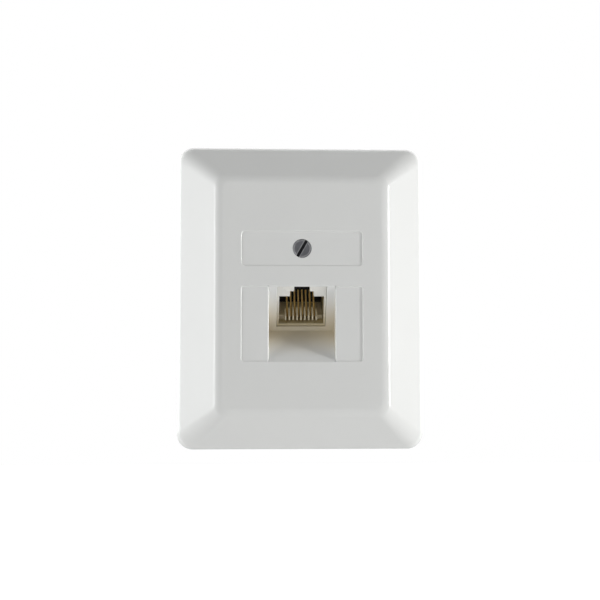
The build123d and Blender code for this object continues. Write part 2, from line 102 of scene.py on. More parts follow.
def turn(name, description, in_degrees):
    """An angle property with its default given in degrees."""
    return bpy.props.FloatProperty(
        name=name, description=description, default=radians(in_degrees), subtype="ANGLE"
    )


class WallSocketCoverSizes(bpy.types.PropertyGroup):
    """Sizes of the cover, its fields and its hood."""

    width: length("Width", "Width of the cover", (COVER_HIGH.x - COVER_LOW.x) / MM)
    height: length("Height", "Height of the cover", (COVER_HIGH.z - COVER_LOW.z) / MM)
    depth: length("Depth", "Depth from the wall to the front", -COVER_LOW.y / MM)
    side_height: length("Side height", "Height of the side walls before the bevel", 13.0)
    side_bevel: length("Side bevel", "Width of the left and right bevels seen from the front", 10.75)
    end_bevel: length("End bevel", "Width of the upper and lower bevels seen from the front", 9.5)
    plan_corner: length("Plan corner", "Corner radius of the outline", 4.2)
    front_corner: length("Front corner", "Corner radius of the flat front", 3.0)
    front_round: length("Front round", "Radius of the edge between the front and the bevels", 4.0)
    outer_round: length("Outer round", "Radius of the edge between the bevels and the sides", 3.6)
    wall: length("Wall", "Wall thickness", 2.0)
    field_width: length("Field width", "Width of the label and jack fields", 31.8)
    field_depth: length("Field depth", "Depth of the label and jack fields", 0.25)
    field_slope: length("Field slope", "Width of the leaning walls round the fields", 0.3)
    field_edge: length("Field edge", "Rounding of the fields' edges", 0.2)
    label_height: length("Label field height", "Height of the label field", 9.4)
    label_z: length("Label field place", "Height of the label field's middle above the centre", 12.1)
    label_corner: length("Label field corner", "Corner radius of the label field", 1.0)
    field_gap: length("Field gap", "Web between the two fields", 4.95)
    jack_field_height: length("Jack field height", "Height of the jack field", 19.7)
    jack_field_corner: length("Jack field corner", "Corner radius of the jack field", 0.6)
    hood_width: length("Hood width", "Width of the hood recess", 17.2)
    hood_depth: length("Hood depth", "Depth of the hood's crease behind the front", 6.55)
    hood_wall: length("Hood wall", "Wall thickness behind the hood", 1.5)
    hood_edge: length("Hood edge", "Rounding of the hood's upright edges", 0.4)
    opening_edge: length("Opening edge", "Rounding of the cut-out's upright edges", 0.25)
    seat_radius: length("Seat radius", "Radius of the screw head's sunk seat", 2.45)
    seat_depth: length("Seat depth", "Depth of the sunk seat below the label field", 1.95)
    screw_hole: length("Screw hole", "Radius of the hole for the cover screw", 1.65)
    boss_radius: length("Boss radius", "Radius of the boss round the cover screw", 3.6)
    boss_reach: length("Boss reach", "Length of the boss behind the front's inside", 6.0)
    knockout_offset: length("Knock-out place", "Distance of the knock-out to the left of the centre", 15.0)
    knockout_width: length("Knock-out width", "Width of the knock-out in the lower edge", 9.0)
    knockout_height: length("Knock-out height", "Height of the knock-out above the wall", 7.0)
    knockout_groove: length("Knock-out groove", "Width and depth of the knock-out's groove", 0.5)
    hood_tilt: turn("Hood tilt", "Tilt of the jack wall from upright", 30.0)


class WallSocketScrewSizes(bpy.types.PropertyGroup):
    """Sizes of the cover screw. Its diameter, place and length come from the CAD screw in model.glb and the
    label field.
    """

    head_thickness: length("Head thickness", "Thickness of the head", 1.6)
    rim_edge: length("Rim edge", "Rounding of the head's rim", 0.3)
    shank_radius: length("Shank radius", "Radius of the shank", 1.5)
    tip_edge: length("Tip edge", "Chamfer of the shank's tip", 0.4)
    slot_width: length("Slot width", "Width of the slot", 0.75)
    slot_depth: length("Slot depth", "Depth of the slot", 0.8)
    slot_edge: length("Slot edge", "Rounding of the slot's long edges", 0.12)
    slot_turn: turn("Slot turn", "Turn of the slot from level", 60.0)
    # The ring is a painted highlight near the head's rim
    highlight_ring_inset: length("Highlight ring inset", "Distance of the painted highlight ring from the head's rim", 0.34)


class WallSocketJackSizes(bpy.types.PropertyGroup):
    """Sizes of the jack, measured down its slanted face and along its axis."""

    mouth_top: length("Mouth top", "Start of the latch notch below the hood's top", 0.35)
    notch_width: length("Notch width", "Width of the latch notch", 4.06)
    notch_drop: length("Notch height", "Height of the latch notch", 1.55)
    step_width: length("Step width", "Width of the second step", 6.2)
    step_drop: length("Step height", "Height of the second step", 1.45)
    cavity_width: length("Cavity width", "Width of the plug cavity", 11.7)
    cavity_drop: length("Cavity height", "Height of the plug cavity above the comb", 6.75)
    comb_drop: length("Comb height", "Height of the gap for the comb", 1.1)
    lip: length("Lip", "Thickness of the lip below the mouth", 0.65)
    setback: length("Setback", "Setback of the collar in the cut-out", 0.4)
    collar_length: length("Collar length", "Length of the collar in the cut-out", 2.6)
    collar_wall: length("Collar wall", "Wall of the collar beside the cavity", 0.5)
    body_side: length("Body side", "Side wall of the body", 1.55)
    body_top: length("Body top", "Top wall of the body", 0.65)
    body_floor: length("Body floor", "Floor of the body", 1.4)
    fit_gap: length("Fit gap", "Gap round the collar", 0.06)
    mouth_edge: length("Mouth edge", "Rounding of the edges round the mouth", 0.1)
    pitch: length("Contact pitch", "Pitch of the contact wires", 1.016)
    wire: length("Wire radius", "Radius of a contact wire", 0.23)
    wire_turn: length("Wire turn", "Radius of the turn at the comb's foot", 0.62)
    wire_bend: length("Wire bend", "Radius of the bends at the tails", 0.45)
    wire_gap: length("Wire gap", "Gap between a wire and the floor it lies on", 0.03)
    wire_start: length("Wire start", "Depth of the wires' foremost points", 3.75)
    arm_end: length("Arm end", "Depth where the spring arms end", 10.0)
    arm_tilt: turn("Arm tilt", "Rise of the spring arms against the jack's axis", 32.0)
    first_row: length("First row", "Rise of the first solder row above the wires' way out", 0.6)
    row_spacing: length("Row spacing", "Distance between the two solder rows", 2.54)
    depth: length("Depth", "Depth of the housing behind the slanted face", 12.0)
    latch_depth: length("Latch depth", "Depth of the room for the plug's latch", 9.5)
    comb_front: length("Comb front", "Depth where the comb's plate starts", 3.2)
    comb_plate: length("Comb plate", "Thickness of the comb's plate", 0.6)
    comb_foot: length("Comb foot", "Width of the comb's feet", 1.4)
    comb_gap: length("Comb gap", "Gap beside the comb", 0.1)
    comb_edge: length("Comb edge", "Rounding of the comb plate's front edges", 0.15)
    slot_end: length("Slot end", "Depth where the comb's slots end", 4.8)
    rib_front: length("Rib front", "Depth where the ribs start", 1.25)
    rib_thickness: length("Rib thickness", "Thickness of a rib", 0.4)
    rib_height: length("Rib height", "Height of a rib above the plate", 1.9)
    rib_length: length("Rib length", "Length of a rib", 4.4)
    rib_edge: length("Rib edge", "Rounding of a rib's upper edges", 0.13)
    outer_rib: share("Outer rib", "Height of the two outermost ribs against the others", 0.7)


class WallSocketFinish(bpy.types.PropertyGroup):
    """Colours and gloss of the finishes."""

    cover: colour("Cover", "White of the cover", (0.845, 0.85, 0.83))
    # Painted shade for the cover deep in the hood
    cover_painted_shade: colour("Painted shade in the hood", "Warmer, darker painted shade deep in the hood", (0.66, 0.58, 0.43))
    jack: colour("Jack", "White of the jack housing", (0.84, 0.83, 0.78))
    # Painted shade for the jack housing deep inside
    jack_painted_shade: colour("Painted shade in the jack", "Warmer, darker painted shade deep in the jack", (0.52, 0.42, 0.22))
    # The rear cap is a real part; its black also stands in for the shade deep in the jack seen past the
    # notch
    cap: colour("Cap", "Black of the rear cap", (0.02, 0.016, 0.01))
    comb: colour("Comb", "Ivory of the contact comb", (0.82, 0.73, 0.54))
    base: colour("Base", "White of the base plate", (0.78, 0.78, 0.75))
    terminal: colour("Terminal", "White of the terminal blocks", (0.74, 0.74, 0.71))
    nylon: colour("Nylon", "Natural shade of the screw's retainer", (0.8, 0.79, 0.73))
    gold: colour("Gold", "Gold plating of the contact wires", (1.0, 0.73, 0.3))
    gold_metallic: share("Gold metallic", "How metallic the gold plating looks", 0.45)
    brass: colour("Brass", "Brass of the insert", (0.78, 0.6, 0.3))
    steel: colour("Steel", "Steel of the cover screw", (0.36, 0.36, 0.39))
    # Painted shade for the screw's slot, and painted highlight for the slot's edges and a ring near the rim
    steel_painted_shade: colour("Painted shade in the slot", "Steel darkened in the slot as painted shade", (0.05, 0.05, 0.055))
    steel_painted_highlight: colour("Painted highlight on steel", "Painted highlight on the slot's edges and a ring near the rim", (0.95, 0.95, 0.96))
    zinc: colour("Zinc", "Zinc plating of the small screws", (0.62, 0.63, 0.64))
    tin: colour("Tin", "Tin plating of the terminals' contacts", (0.7, 0.69, 0.66))
    board: colour("Board", "Solder resist of the circuit board", (0.03, 0.16, 0.07))
    gloss: share("Roughness", "Roughness of the cover", 0.17)


class WallSocketStudio(bpy.types.PropertyGroup):
    """Camera and light."""

    azimuth: turn("Azimuth", "Camera's angle round the socket", -3.06)
    elevation: turn("Elevation", "Camera's angle above the horizon", -3.87)
    roll: turn("Roll", "Camera's roll", -0.07)
    distance: length("Distance", "Camera's distance", 330.0)
    lens: share("Lens", "Focal length in millimetres", 74.33, 500.0)
    aim_z: bpy.props.FloatProperty(
        name="Aim",
        description="Height that the camera looks at",
        default=-0.55 * MM,
        precision=5,
        unit="LENGTH",
    )
    floor_tone: colour("Floor", "Grey of the floor", (0.7, 0.7, 0.7))
    floor_size: length("Floor size", "Length of the floor's sides", 6000.0)
    floor_drop: length("Floor drop", "Height of the socket above the floor", 200.0)
    box_width: length("Softbox width", "Width of a softbox", 100.0)
    box_height: length("Softbox height", "Height of a softbox", 300.0)
    reach: length("Reach", "Distance of the softboxes from the socket", 600.0)
    left_light: share("Left light", "Power of the left softbox in watts", 0.65, 100.0)
    right_light: share("Right light", "Power of the right softbox in watts", 2.2, 100.0)
    matt_share: share("Matt share", "Share of the softboxes' light that matt surfaces scatter", 0.55)
    left_angle: turn("Left angle", "Angle of the left softbox from the front", 70.0)
    right_angle: turn("Right angle", "Angle of the right softbox from the front", 74.0)
    right_lift: length("Right lift", "Height of the right softbox above the socket", 50.0)
    ambient: share("Ambient", "Strength of the room's light", 0.212, 10.0)
    room_low: share("Room below", "Light from the room's floor", 1.25, 10.0)
    room_level: share("Room level", "Light from the room at the socket's height", 1.1, 10.0)
    room_high: share("Room above", "Light from the room's ceiling", 0.12, 10.0)
    room_behind: share("Room behind", "Share of the room's light that comes from behind", 0.4)
    backdrop: share("Backdrop", "Extra light from the white surroundings behind", 1.6, 10.0)
    flanks: share("Flanks", "Extra light from the white walls on the left and right", 0.95, 10.0)
    left_flank: share("Left flank", "Share of that light on the left", 2.1, 10.0)
    right_flank: share("Right flank", "Share of that light on the right", 0.5, 10.0)


# Helpers for modelling

def clear_selection():
    """Leave nothing selected."""
    bpy.ops.object.select_all(action="DESELECT")


def settle(piece):
    """Put a piece's place, turn and size into its mesh."""
    clear_selection()
    piece.select_set(True)
    bpy.context.view_layer.objects.active = piece
    bpy.ops.object.transform_apply(location=True, rotation=True, scale=True)
    return piece


def block(name, low, high):
    """A box between two corners."""
    clear_selection()
    low, high = Vector(low), Vector(high)
    bpy.ops.mesh.primitive_cube_add(size=1, location=(low + high) / 2, scale=high - low)
    piece = bpy.context.active_object
    piece.name = name
    return settle(piece)


def rod(name, front, radius, back_length, sides=64):
    """A cylinder from a point on its front face towards the wall."""
    clear_selection()
    centre = Vector(front) + Vector((0, back_length / 2, 0))
    bpy.ops.mesh.primitive_cylinder_add(
        vertices=sides, radius=radius, depth=back_length, location=centre, rotation=(pi / 2, 0, 0)
    )
    piece = bpy.context.active_object
    piece.name = name
    return settle(piece)


def pick(piece, kind, test):
    """Open a piece for editing with only the faces, edges or points that pass a test selected."""
    clear_selection()
    piece.select_set(True)
    bpy.context.view_layer.objects.active = piece
    bpy.ops.object.mode_set(mode="EDIT")
    bpy.ops.mesh.select_mode(type=kind)
    bpy.ops.mesh.select_all(action="DESELECT")
    mesh = bmesh.from_edit_mesh(piece.data)
    items = {"FACE": mesh.faces, "EDGE": mesh.edges, "VERT": mesh.verts}[kind]
    for item in items:
        if test(item):
            item.select_set(True)
    mesh.select_flush_mode()
    bmesh.update_edit_mesh(piece.data)


def close_edit():
    """Leave edit mode."""
    bpy.ops.object.mode_set(mode="OBJECT")


def same(a, b):
    """Whether two lengths agree."""
    return abs(a - b) < NEAR


def on_plane(edge, axis, place):
    """Whether an edge lies in the plane where a coordinate has a value."""
    return all(same(v.co[axis], place) for v in edge.verts)


def runs_along(edge, axis):
    """Whether an edge runs along an axis."""
    step = edge.verts[1].co - edge.verts[0].co
    return step.length > NEAR and abs(step[axis]) > ALONG * step.length


def round_edges(piece, test, offset, segments):
    """Round the edges that pass a test."""
    pick(piece, "EDGE", test)
    bpy.ops.mesh.bevel(
        offset=offset,
        offset_type="OFFSET",
        segments=segments,
        profile=0.5,
        affect="EDGES",
        clamp_overlap=False,
    )
    close_edit()


def rounded_block(name, low, high, radius, segments):
    """A box with the four edges that run towards the wall rounded."""
    piece = block(name, low, high)
    round_edges(piece, lambda e: runs_along(e, 1), radius, segments)
    return piece


def spread(piece, y, amount):
    """Move the outline that a piece has at a depth outwards on all sides."""
    pick(piece, "VERT", lambda v: same(v.co.y, y))
    width, _, height = piece.dimensions
    middle = sum((Vector(corner) for corner in piece.bound_box), Vector()) / 8
    bpy.ops.transform.resize(
        value=(1 + 2 * amount / width, 1, 1 + 2 * amount / height), center_override=middle
    )
    close_edit()


def slice_off(piece, point, normal):
    """Cut away what lies beyond a plane, and close the cut."""
    pick(piece, "FACE", lambda f: True)
    bpy.ops.mesh.bisect(
        plane_co=point, plane_no=normal.normalized(), use_fill=True, clear_outer=True, threshold=PLANE_SLACK
    )
    close_edit()


def combine(piece, tool, operation="DIFFERENCE"):
    """Cut a piece with another, or join the two."""
    clear_selection()
    bpy.context.view_layer.objects.active = piece
    piece.select_set(True)
    step = piece.modifiers.new("cut", "BOOLEAN")
    step.operation = operation
    step.solver = "EXACT"
    step.object = tool
    bpy.ops.object.modifier_apply(modifier=step.name)
    bpy.data.objects.remove(tool)
    return piece


def smooth(piece, limit=32):
    """Smooth the rounded edges, and keep flat faces flat."""
    clear_selection()
    piece.select_set(True)
    bpy.context.view_layer.objects.active = piece
    bpy.ops.object.shade_smooth_by_angle(angle=radians(limit))
    weigh = piece.modifiers.new("normals", "WEIGHTED_NORMAL")
    weigh.keep_sharp = True
    weigh.weight = 100
    bpy.ops.object.modifier_apply(modifier=weigh.name)


def tidy_mesh(piece):
    """Merge doubled points and turn the faces outwards."""
    pick(piece, "VERT", lambda v: True)
    bpy.ops.mesh.remove_doubles(threshold=DOUBLED)
    bpy.ops.mesh.normals_make_consistent(inside=False)
    close_edit()


def join(pieces, name):
    """Join several pieces into one."""
    clear_selection()
    for piece in pieces:
        piece.select_set(True)
    bpy.context.view_layer.objects.active = pieces[0]
    if len(pieces) > 1:
        bpy.ops.object.join()
    pieces[0].name = name
    return pieces[0]


def enter(piece, nodes, material):
    """Finish a new piece: its material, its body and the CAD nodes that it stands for."""
    piece.data.materials.clear()
    piece.data.materials.append(material)
    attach(piece, "root")
    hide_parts(*nodes)


def hood_top():
    """The hood's top front edge, where the jack's measures start."""
    c = bpy.context.scene.wall_socket_cover
    return Vector((0, -c.depth, c.label_z - c.label_height / 2 - c.field_gap))


def place_in_jack(piece):
    """Tilt a piece from the jack's own frame (X, depth, up the face) into its place."""
    piece.rotation_euler = (bpy.context.scene.wall_socket_cover.hood_tilt, 0, 0)
    piece.location = hood_top()
    return settle(piece)


# Helpers for materials

def add_node(tree, kind, place, settings=None, **inputs):
    """A node at a place, with its settings and input values."""
    made = tree.nodes.new(kind)
    made.location = place
    for key, value in (settings or {}).items():
        setattr(made, key, value)
    for key, value in inputs.items():
        made.inputs[key.replace("_", " ")].default_value = value
    return made


def wire_up(tree, *links):
    """Link pairs of sockets."""
    for source, target in links:
        tree.links.new(source, target)


def new_group(name, sockets):
    """An empty node group with named sockets, and its two ends."""
    group = bpy.data.node_groups.new(name, "ShaderNodeTree")
    for label, way, kind, value in sockets:
        socket = group.interface.new_socket(label, in_out=way, socket_type=kind)
        if value is not None:
            socket.default_value = value
    start = group.nodes.new("NodeGroupInput")
    start.location = (-900, 0)
    end = group.nodes.new("NodeGroupOutput")
    end.location = (600, 0)
    return group, start, end


def moulded_grain():
    """Node group: faint shade changes, gloss changes and the fine grain of moulded plastic."""
    name = "Moulded Grain"
    if name in bpy.data.node_groups:
        return bpy.data.node_groups[name]
    group, start, end = new_group(name, [
        ("Colour", "INPUT", "NodeSocketColor", (0.8, 0.8, 0.8, 1)),
        ("Shade Change", "INPUT", "NodeSocketFloat", 0.03),
        ("Roughness", "INPUT", "NodeSocketFloat", 0.3),
        ("Gloss Change", "INPUT", "NodeSocketFloat", 0.08),
        ("Cloud Scale", "INPUT", "NodeSocketFloat", 90.0),
        ("Grain Scale", "INPUT", "NodeSocketFloat", 2600.0),
        ("Colour", "OUTPUT", "NodeSocketColor", None),
        ("Roughness", "OUTPUT", "NodeSocketFloat", None),
        ("Height", "OUTPUT", "NodeSocketFloat", None),
    ])
    where = add_node(group, "ShaderNodeTexCoord", (-900, -300))
    clouds = add_node(group, "ShaderNodeTexNoise", (-600, 100), Detail=4.0, Roughness=0.6)
    grain = add_node(group, "ShaderNodeTexNoise", (-600, -250), Detail=3.0, Roughness=0.55)
    centred = add_node(group, "ShaderNodeMath", (-380, 100), {"operation": "SUBTRACT"})
    centred.inputs[1].default_value = 0.5
    shade = add_node(group, "ShaderNodeMath", (-180, 200), {"operation": "MULTIPLY"})
    lift = add_node(group, "ShaderNodeMath", (0, 200), {"operation": "ADD"})
    lift.inputs[1].default_value = 1.0
    tint = add_node(group, "ShaderNodeVectorMath", (200, 200), {"operation": "SCALE"})
    dull = add_node(group, "ShaderNodeMath", (-180, -50), {"operation": "MULTIPLY"})
    rough = add_node(group, "ShaderNodeMath", (0, -50), {"operation": "ADD"})
    wire_up(
        group,
        (where.outputs["Object"], clouds.inputs["Vector"]),
        (where.outputs["Object"], grain.inputs["Vector"]),
        (start.outputs["Cloud Scale"], clouds.inputs["Scale"]),
        (start.outputs["Grain Scale"], grain.inputs["Scale"]),
        (clouds.outputs["Fac"], centred.inputs[0]),
        (centred.outputs[0], shade.inputs[0]),
        (start.outputs["Shade Change"], shade.inputs[1]),
        (shade.outputs[0], lift.inputs[0]),
        (start.outputs["Colour"], tint.inputs[0]),
        (lift.outputs[0], tint.inputs["Scale"]),
        (centred.outputs[0], dull.inputs[0]),
        (start.outputs["Gloss Change"], dull.inputs[1]),
        (dull.outputs[0], rough.inputs[0]),
        (start.outputs["Roughness"], rough.inputs[1]),
        (tint.outputs[0], end.inputs["Colour"]),
        (rough.outputs[0], end.inputs["Roughness"]),
        (grain.outputs["Fac"], end.inputs["Height"]),
    )
    return group


def plastic(name, tone, roughness, grain_depth=0.006, shade=0.03, coat=0.0):
    """Moulded plastic from the grain group."""
    if name in bpy.data.materials:
        return bpy.data.materials[name]
    material = bpy.data.materials.new(name)
    material.use_nodes = True
    tree = material.node_tree
    shader = tree.nodes["Principled BSDF"]
    shader.inputs["IOR"].default_value = 1.5
    shader.inputs["Coat Weight"].default_value = coat
    shader.inputs["Coat Roughness"].default_value = 0.12
    grain = add_node(tree, "ShaderNodeGroup", (-500, 100), {"node_tree": moulded_grain()})
    grain.inputs["Colour"].default_value = (*tone, 1)
    grain.inputs["Roughness"].default_value = roughness
    grain.inputs["Shade Change"].default_value = shade
    bump = add_node(tree, "ShaderNodeBump", (-250, -200), Strength=0.6, Distance=grain_depth * MM)
    wire_up(
        tree,
        (grain.outputs["Colour"], shader.inputs["Base Color"]),
        (grain.outputs["Roughness"], shader.inputs["Roughness"]),
        (grain.outputs["Height"], bump.inputs["Height"]),
        (bump.outputs["Normal"], shader.inputs["Normal"]),
    )
    return material


def painted_recess_shade():
    """Node group: painted shade, which turns plastic warmer and darker with its depth in the hood."""
    name = "Recess Tint"
    if name in bpy.data.node_groups:
        return bpy.data.node_groups[name]
    group, start, end = new_group(name, [
        ("Colour", "INPUT", "NodeSocketColor", (0.8, 0.8, 0.8, 1)),
        ("Painted Shade Colour", "INPUT", "NodeSocketColor", (0.6, 0.5, 0.35, 1)),
        ("Front", "INPUT", "NodeSocketFloat", -21.5 * MM),
        ("Deep", "INPUT", "NodeSocketFloat", -15.0 * MM),
        ("Half Width", "INPUT", "NodeSocketFloat", 9.5 * MM),
        ("Middle", "INPUT", "NodeSocketFloat", -7.5 * MM),
        ("Half Height", "INPUT", "NodeSocketFloat", 10.5 * MM),
        ("Colour", "OUTPUT", "NodeSocketColor", None),
    ])
    where = add_node(group, "ShaderNodeTexCoord", (-900, -300))
    split = add_node(group, "ShaderNodeSeparateXYZ", (-700, -300))
    depth = add_node(group, "ShaderNodeMapRange", (-400, 0), {"interpolation_type": "SMOOTHSTEP"})
    side = add_node(group, "ShaderNodeMath", (-550, -250), {"operation": "ABSOLUTE"})
    inside = add_node(group, "ShaderNodeMath", (-400, -250), {"operation": "LESS_THAN"})
    middle = add_node(group, "ShaderNodeMath", (-700, -500), {"operation": "SUBTRACT"})
    away = add_node(group, "ShaderNodeMath", (-550, -500), {"operation": "ABSOLUTE"})
    raised = add_node(group, "ShaderNodeMath", (-400, -450), {"operation": "LESS_THAN"})
    first = add_node(group, "ShaderNodeMath", (-150, -150), {"operation": "MULTIPLY"})
    second = add_node(group, "ShaderNodeMath", (0, -150), {"operation": "MULTIPLY"})
    # Painted shade: inside the hood's box the colour shifts towards the shade colour with depth
    mix = add_node(group, "ShaderNodeMix", (250, 100), {"data_type": "RGBA"})
    wire_up(
        group,
        (where.outputs["Object"], split.inputs[0]),
        (split.outputs["Y"], depth.inputs["Value"]),
        (start.outputs["Front"], depth.inputs["From Min"]),
        (start.outputs["Deep"], depth.inputs["From Max"]),
        (split.outputs["X"], side.inputs[0]),
        (side.outputs[0], inside.inputs[0]),
        (start.outputs["Half Width"], inside.inputs[1]),
        (split.outputs["Z"], middle.inputs[0]),
        (start.outputs["Middle"], middle.inputs[1]),
        (middle.outputs[0], away.inputs[0]),
        (away.outputs[0], raised.inputs[0]),
        (start.outputs["Half Height"], raised.inputs[1]),
        (depth.outputs[0], first.inputs[0]),
        (inside.outputs[0], first.inputs[1]),
        (first.outputs[0], second.inputs[0]),
        (raised.outputs[0], second.inputs[1]),
        (second.outputs[0], mix.inputs["Factor"]),
        (start.outputs["Colour"], mix.inputs["A"]),
        (start.outputs["Painted Shade Colour"], mix.inputs["B"]),
        (mix.outputs["Result"], end.inputs["Colour"]),
    )
    return group


def paint_recess_shade(material, tone, deep, front, back):
    """Put the painted recess shade ahead of a plastic's grain."""
    tree = material.node_tree
    tint = add_node(tree, "ShaderNodeGroup", (-750, 100), {"node_tree": painted_recess_shade()})
    tint.inputs["Colour"].default_value = (*tone, 1)
    tint.inputs["Painted Shade Colour"].default_value = (*deep, 1)
    tint.inputs["Front"].default_value = front
    tint.inputs["Deep"].default_value = back
    wire_up(tree, (tint.outputs["Colour"], tree.nodes["Group"].inputs["Colour"]))
    return material


def screw_painted_light():
    """Node group: painted shade over a slotted screw head's slot, and painted highlights along the slot's
    edges and on a ring near the rim.
    """
    name = "Screw Wear"
    if name in bpy.data.node_groups:
        return bpy.data.node_groups[name]
    group, start, end = new_group(name, [
        ("Colour", "INPUT", "NodeSocketColor", (0.3, 0.3, 0.3, 1)),
        ("Dark", "INPUT", "NodeSocketColor", (0.05, 0.05, 0.05, 1)),
        ("Painted Highlight", "INPUT", "NodeSocketColor", (0.8, 0.8, 0.8, 1)),
        ("Middle", "INPUT", "NodeSocketVector", (0, 0, 0)),
        ("Slot Turn", "INPUT", "NodeSocketFloat", radians(60)),
        ("Slot Half Width", "INPUT", "NodeSocketFloat", 0.375 * MM),
        ("Ring", "INPUT", "NodeSocketFloat", 1.85 * MM),
        ("Line", "INPUT", "NodeSocketFloat", 0.13 * MM),
        ("Colour", "OUTPUT", "NodeSocketColor", None),
    ])
    where = add_node(group, "ShaderNodeTexCoord", (-1100, -200))
    shift = add_node(group, "ShaderNodeVectorMath", (-900, -200), {"operation": "SUBTRACT"})
    turned = add_node(group, "ShaderNodeVectorRotate", (-700, -200), {"rotation_type": "Y_AXIS"})
    split = add_node(group, "ShaderNodeSeparateXYZ", (-500, -200))
    across = add_node(group, "ShaderNodeMath", (-300, -100), {"operation": "ABSOLUTE"})
    flat = add_node(group, "ShaderNodeCombineXYZ", (-300, -350))
    reach = add_node(group, "ShaderNodeVectorMath", (-150, -350), {"operation": "LENGTH"})
    # Masks for painted light: the slot's band gets painted shade; thin lines along its edges and a ring
    # near the rim get painted highlights, broken up by noise
    slot = add_node(group, "ShaderNodeMath", (0, 0), {"operation": "LESS_THAN"})
    edge = add_node(group, "ShaderNodeMath", (0, -150), {"operation": "COMPARE"})
    ring = add_node(group, "ShaderNodeMath", (0, -350), {"operation": "COMPARE"})
    edge_place = add_node(group, "ShaderNodeMath", (-150, 200), {"operation": "ADD"})
    highlight = add_node(group, "ShaderNodeMath", (150, -250), {"operation": "MAXIMUM"})
    patch = add_node(group, "ShaderNodeTexNoise", (0, -550), Scale=900.0, Detail=2.0)
    patchy_highlight = add_node(group, "ShaderNodeMath", (300, -350), {"operation": "MULTIPLY"})
    first = add_node(group, "ShaderNodeMix", (300, 150), {"data_type": "RGBA"})
    second = add_node(group, "ShaderNodeMix", (450, 0), {"data_type": "RGBA"})
    wire_up(
        group,
        (where.outputs["Object"], shift.inputs[0]),
        (start.outputs["Middle"], shift.inputs[1]),
        (shift.outputs[0], turned.inputs["Vector"]),
        (start.outputs["Slot Turn"], turned.inputs["Angle"]),
        (turned.outputs[0], split.inputs[0]),
        (split.outputs["Z"], across.inputs[0]),
        (split.outputs["X"], flat.inputs["X"]),
        (split.outputs["Z"], flat.inputs["Z"]),
        (flat.outputs[0], reach.inputs[0]),
        (across.outputs[0], slot.inputs[0]),
        (start.outputs["Slot Half Width"], slot.inputs[1]),
        (start.outputs["Slot Half Width"], edge_place.inputs[0]),
        (start.outputs["Line"], edge_place.inputs[1]),
        (across.outputs[0], edge.inputs[0]),
        (edge_place.outputs[0], edge.inputs[1]),
        (start.outputs["Line"], edge.inputs[2]),
        (reach.outputs["Value"], ring.inputs[0]),
        (start.outputs["Ring"], ring.inputs[1]),
        (start.outputs["Line"], ring.inputs[2]),
        (edge.outputs[0], highlight.inputs[0]),
        (ring.outputs[0], highlight.inputs[1]),
        (where.outputs["Object"], patch.inputs["Vector"]),
        (highlight.outputs[0], patchy_highlight.inputs[0]),
        (patch.outputs["Fac"], patchy_highlight.inputs[1]),
        (patchy_highlight.outputs[0], first.inputs["Factor"]),
        (start.outputs["Colour"], first.inputs["A"]),
        (start.outputs["Painted Highlight"], first.inputs["B"]),
        (slot.outputs[0], second.inputs["Factor"]),
        (first.outputs["Result"], second.inputs["A"]),
        (start.outputs["Dark"], second.inputs["B"]),
        (second.outputs["Result"], end.inputs["Colour"]),
    )
    return group


def metal(name, tone, roughness, scratch_scale=900.0, turned_about=None, depth=0.01):
    """Bare or plated metal with fine marks: streaks, or rings round an axis towards the viewer."""
    if name in bpy.data.materials:
        return bpy.data.materials[name]
    material = bpy.data.materials.new(name)
    material.use_nodes = True
    tree = material.node_tree
    shader = tree.nodes["Principled BSDF"]
    shader.inputs["Metallic"].default_value = 1.0
    where = add_node(tree, "ShaderNodeTexCoord", (-1100, 0))
    if turned_about:
        shift = add_node(tree, "ShaderNodeMapping", (-900, 0), Location=[-v for v in turned_about])
        marks = add_node(
            tree,
            "ShaderNodeTexWave",
            (-650, 0),
            {"wave_type": "RINGS", "rings_direction": "Y"},
            Scale=scratch_scale,
            Distortion=1.5,
            Detail=2.0,
        )
        wire_up(
            tree,
            (where.outputs["Object"], shift.inputs["Vector"]),
            (shift.outputs[0], marks.inputs["Vector"]),
        )
    else:
        marks = add_node(tree, "ShaderNodeTexNoise", (-650, 0), Scale=scratch_scale, Detail=4.0)
        wire_up(tree, (where.outputs["Object"], marks.inputs["Vector"]))
    grain = add_node(tree, "ShaderNodeGroup", (-500, 250), {"node_tree": moulded_grain()})
    grain.inputs["Colour"].default_value = (*tone, 1)
    grain.inputs["Roughness"].default_value = roughness
    grain.inputs["Shade Change"].default_value = 0.35
    grain.inputs["Gloss Change"].default_value = 0.25
    grain.inputs["Cloud Scale"].default_value = 700.0
    bump = add_node(tree, "ShaderNodeBump", (-250, -200), Strength=0.5, Distance=depth * MM)
    wire_up(
        tree,
        (grain.outputs["Colour"], shader.inputs["Base Color"]),
        (grain.outputs["Roughness"], shader.inputs["Roughness"]),
        (marks.outputs["Fac"], bump.inputs["Height"]),
        (bump.outputs["Normal"], shader.inputs["Normal"]),
    )
    return material


# Cover

def cushion(name, width, height, side, front_width, front_height, front, corner, front_corner, back=0.0):
    """A box with rounded corners whose front is drawn in, like a flat cushion."""
    low, high = (-width / 2, -side, -height / 2), (width / 2, back, height / 2)
    piece = rounded_block(name, low, high, corner, segments=16)
    pick(piece, "FACE", lambda f: f.normal.y < -FACING)
    bpy.ops.mesh.extrude_region_move(TRANSFORM_OT_translate={"value": (0, side - front, 0)})
    close_edit()
    for right in (-1, 1):
        for up in (-1, 1):
            centre = Vector((right * (width / 2 - corner), -front, up * (height / 2 - corner)))
            goal_x = right * (front_width / 2 - front_corner)
            goal_z = up * (front_height / 2 - front_corner)
            goal = Vector((goal_x, -front, goal_z))

            def in_corner(v):
                return same(v.co.y, -front) and v.co.x * right > 0 and v.co.z * up > 0

            pick(piece, "VERT", in_corner)
            shrink = front_corner / corner
            bpy.ops.transform.resize(value=(shrink, 1, shrink), center_override=centre)
            bpy.ops.transform.translate(value=goal - centre)
            close_edit()
    return piece


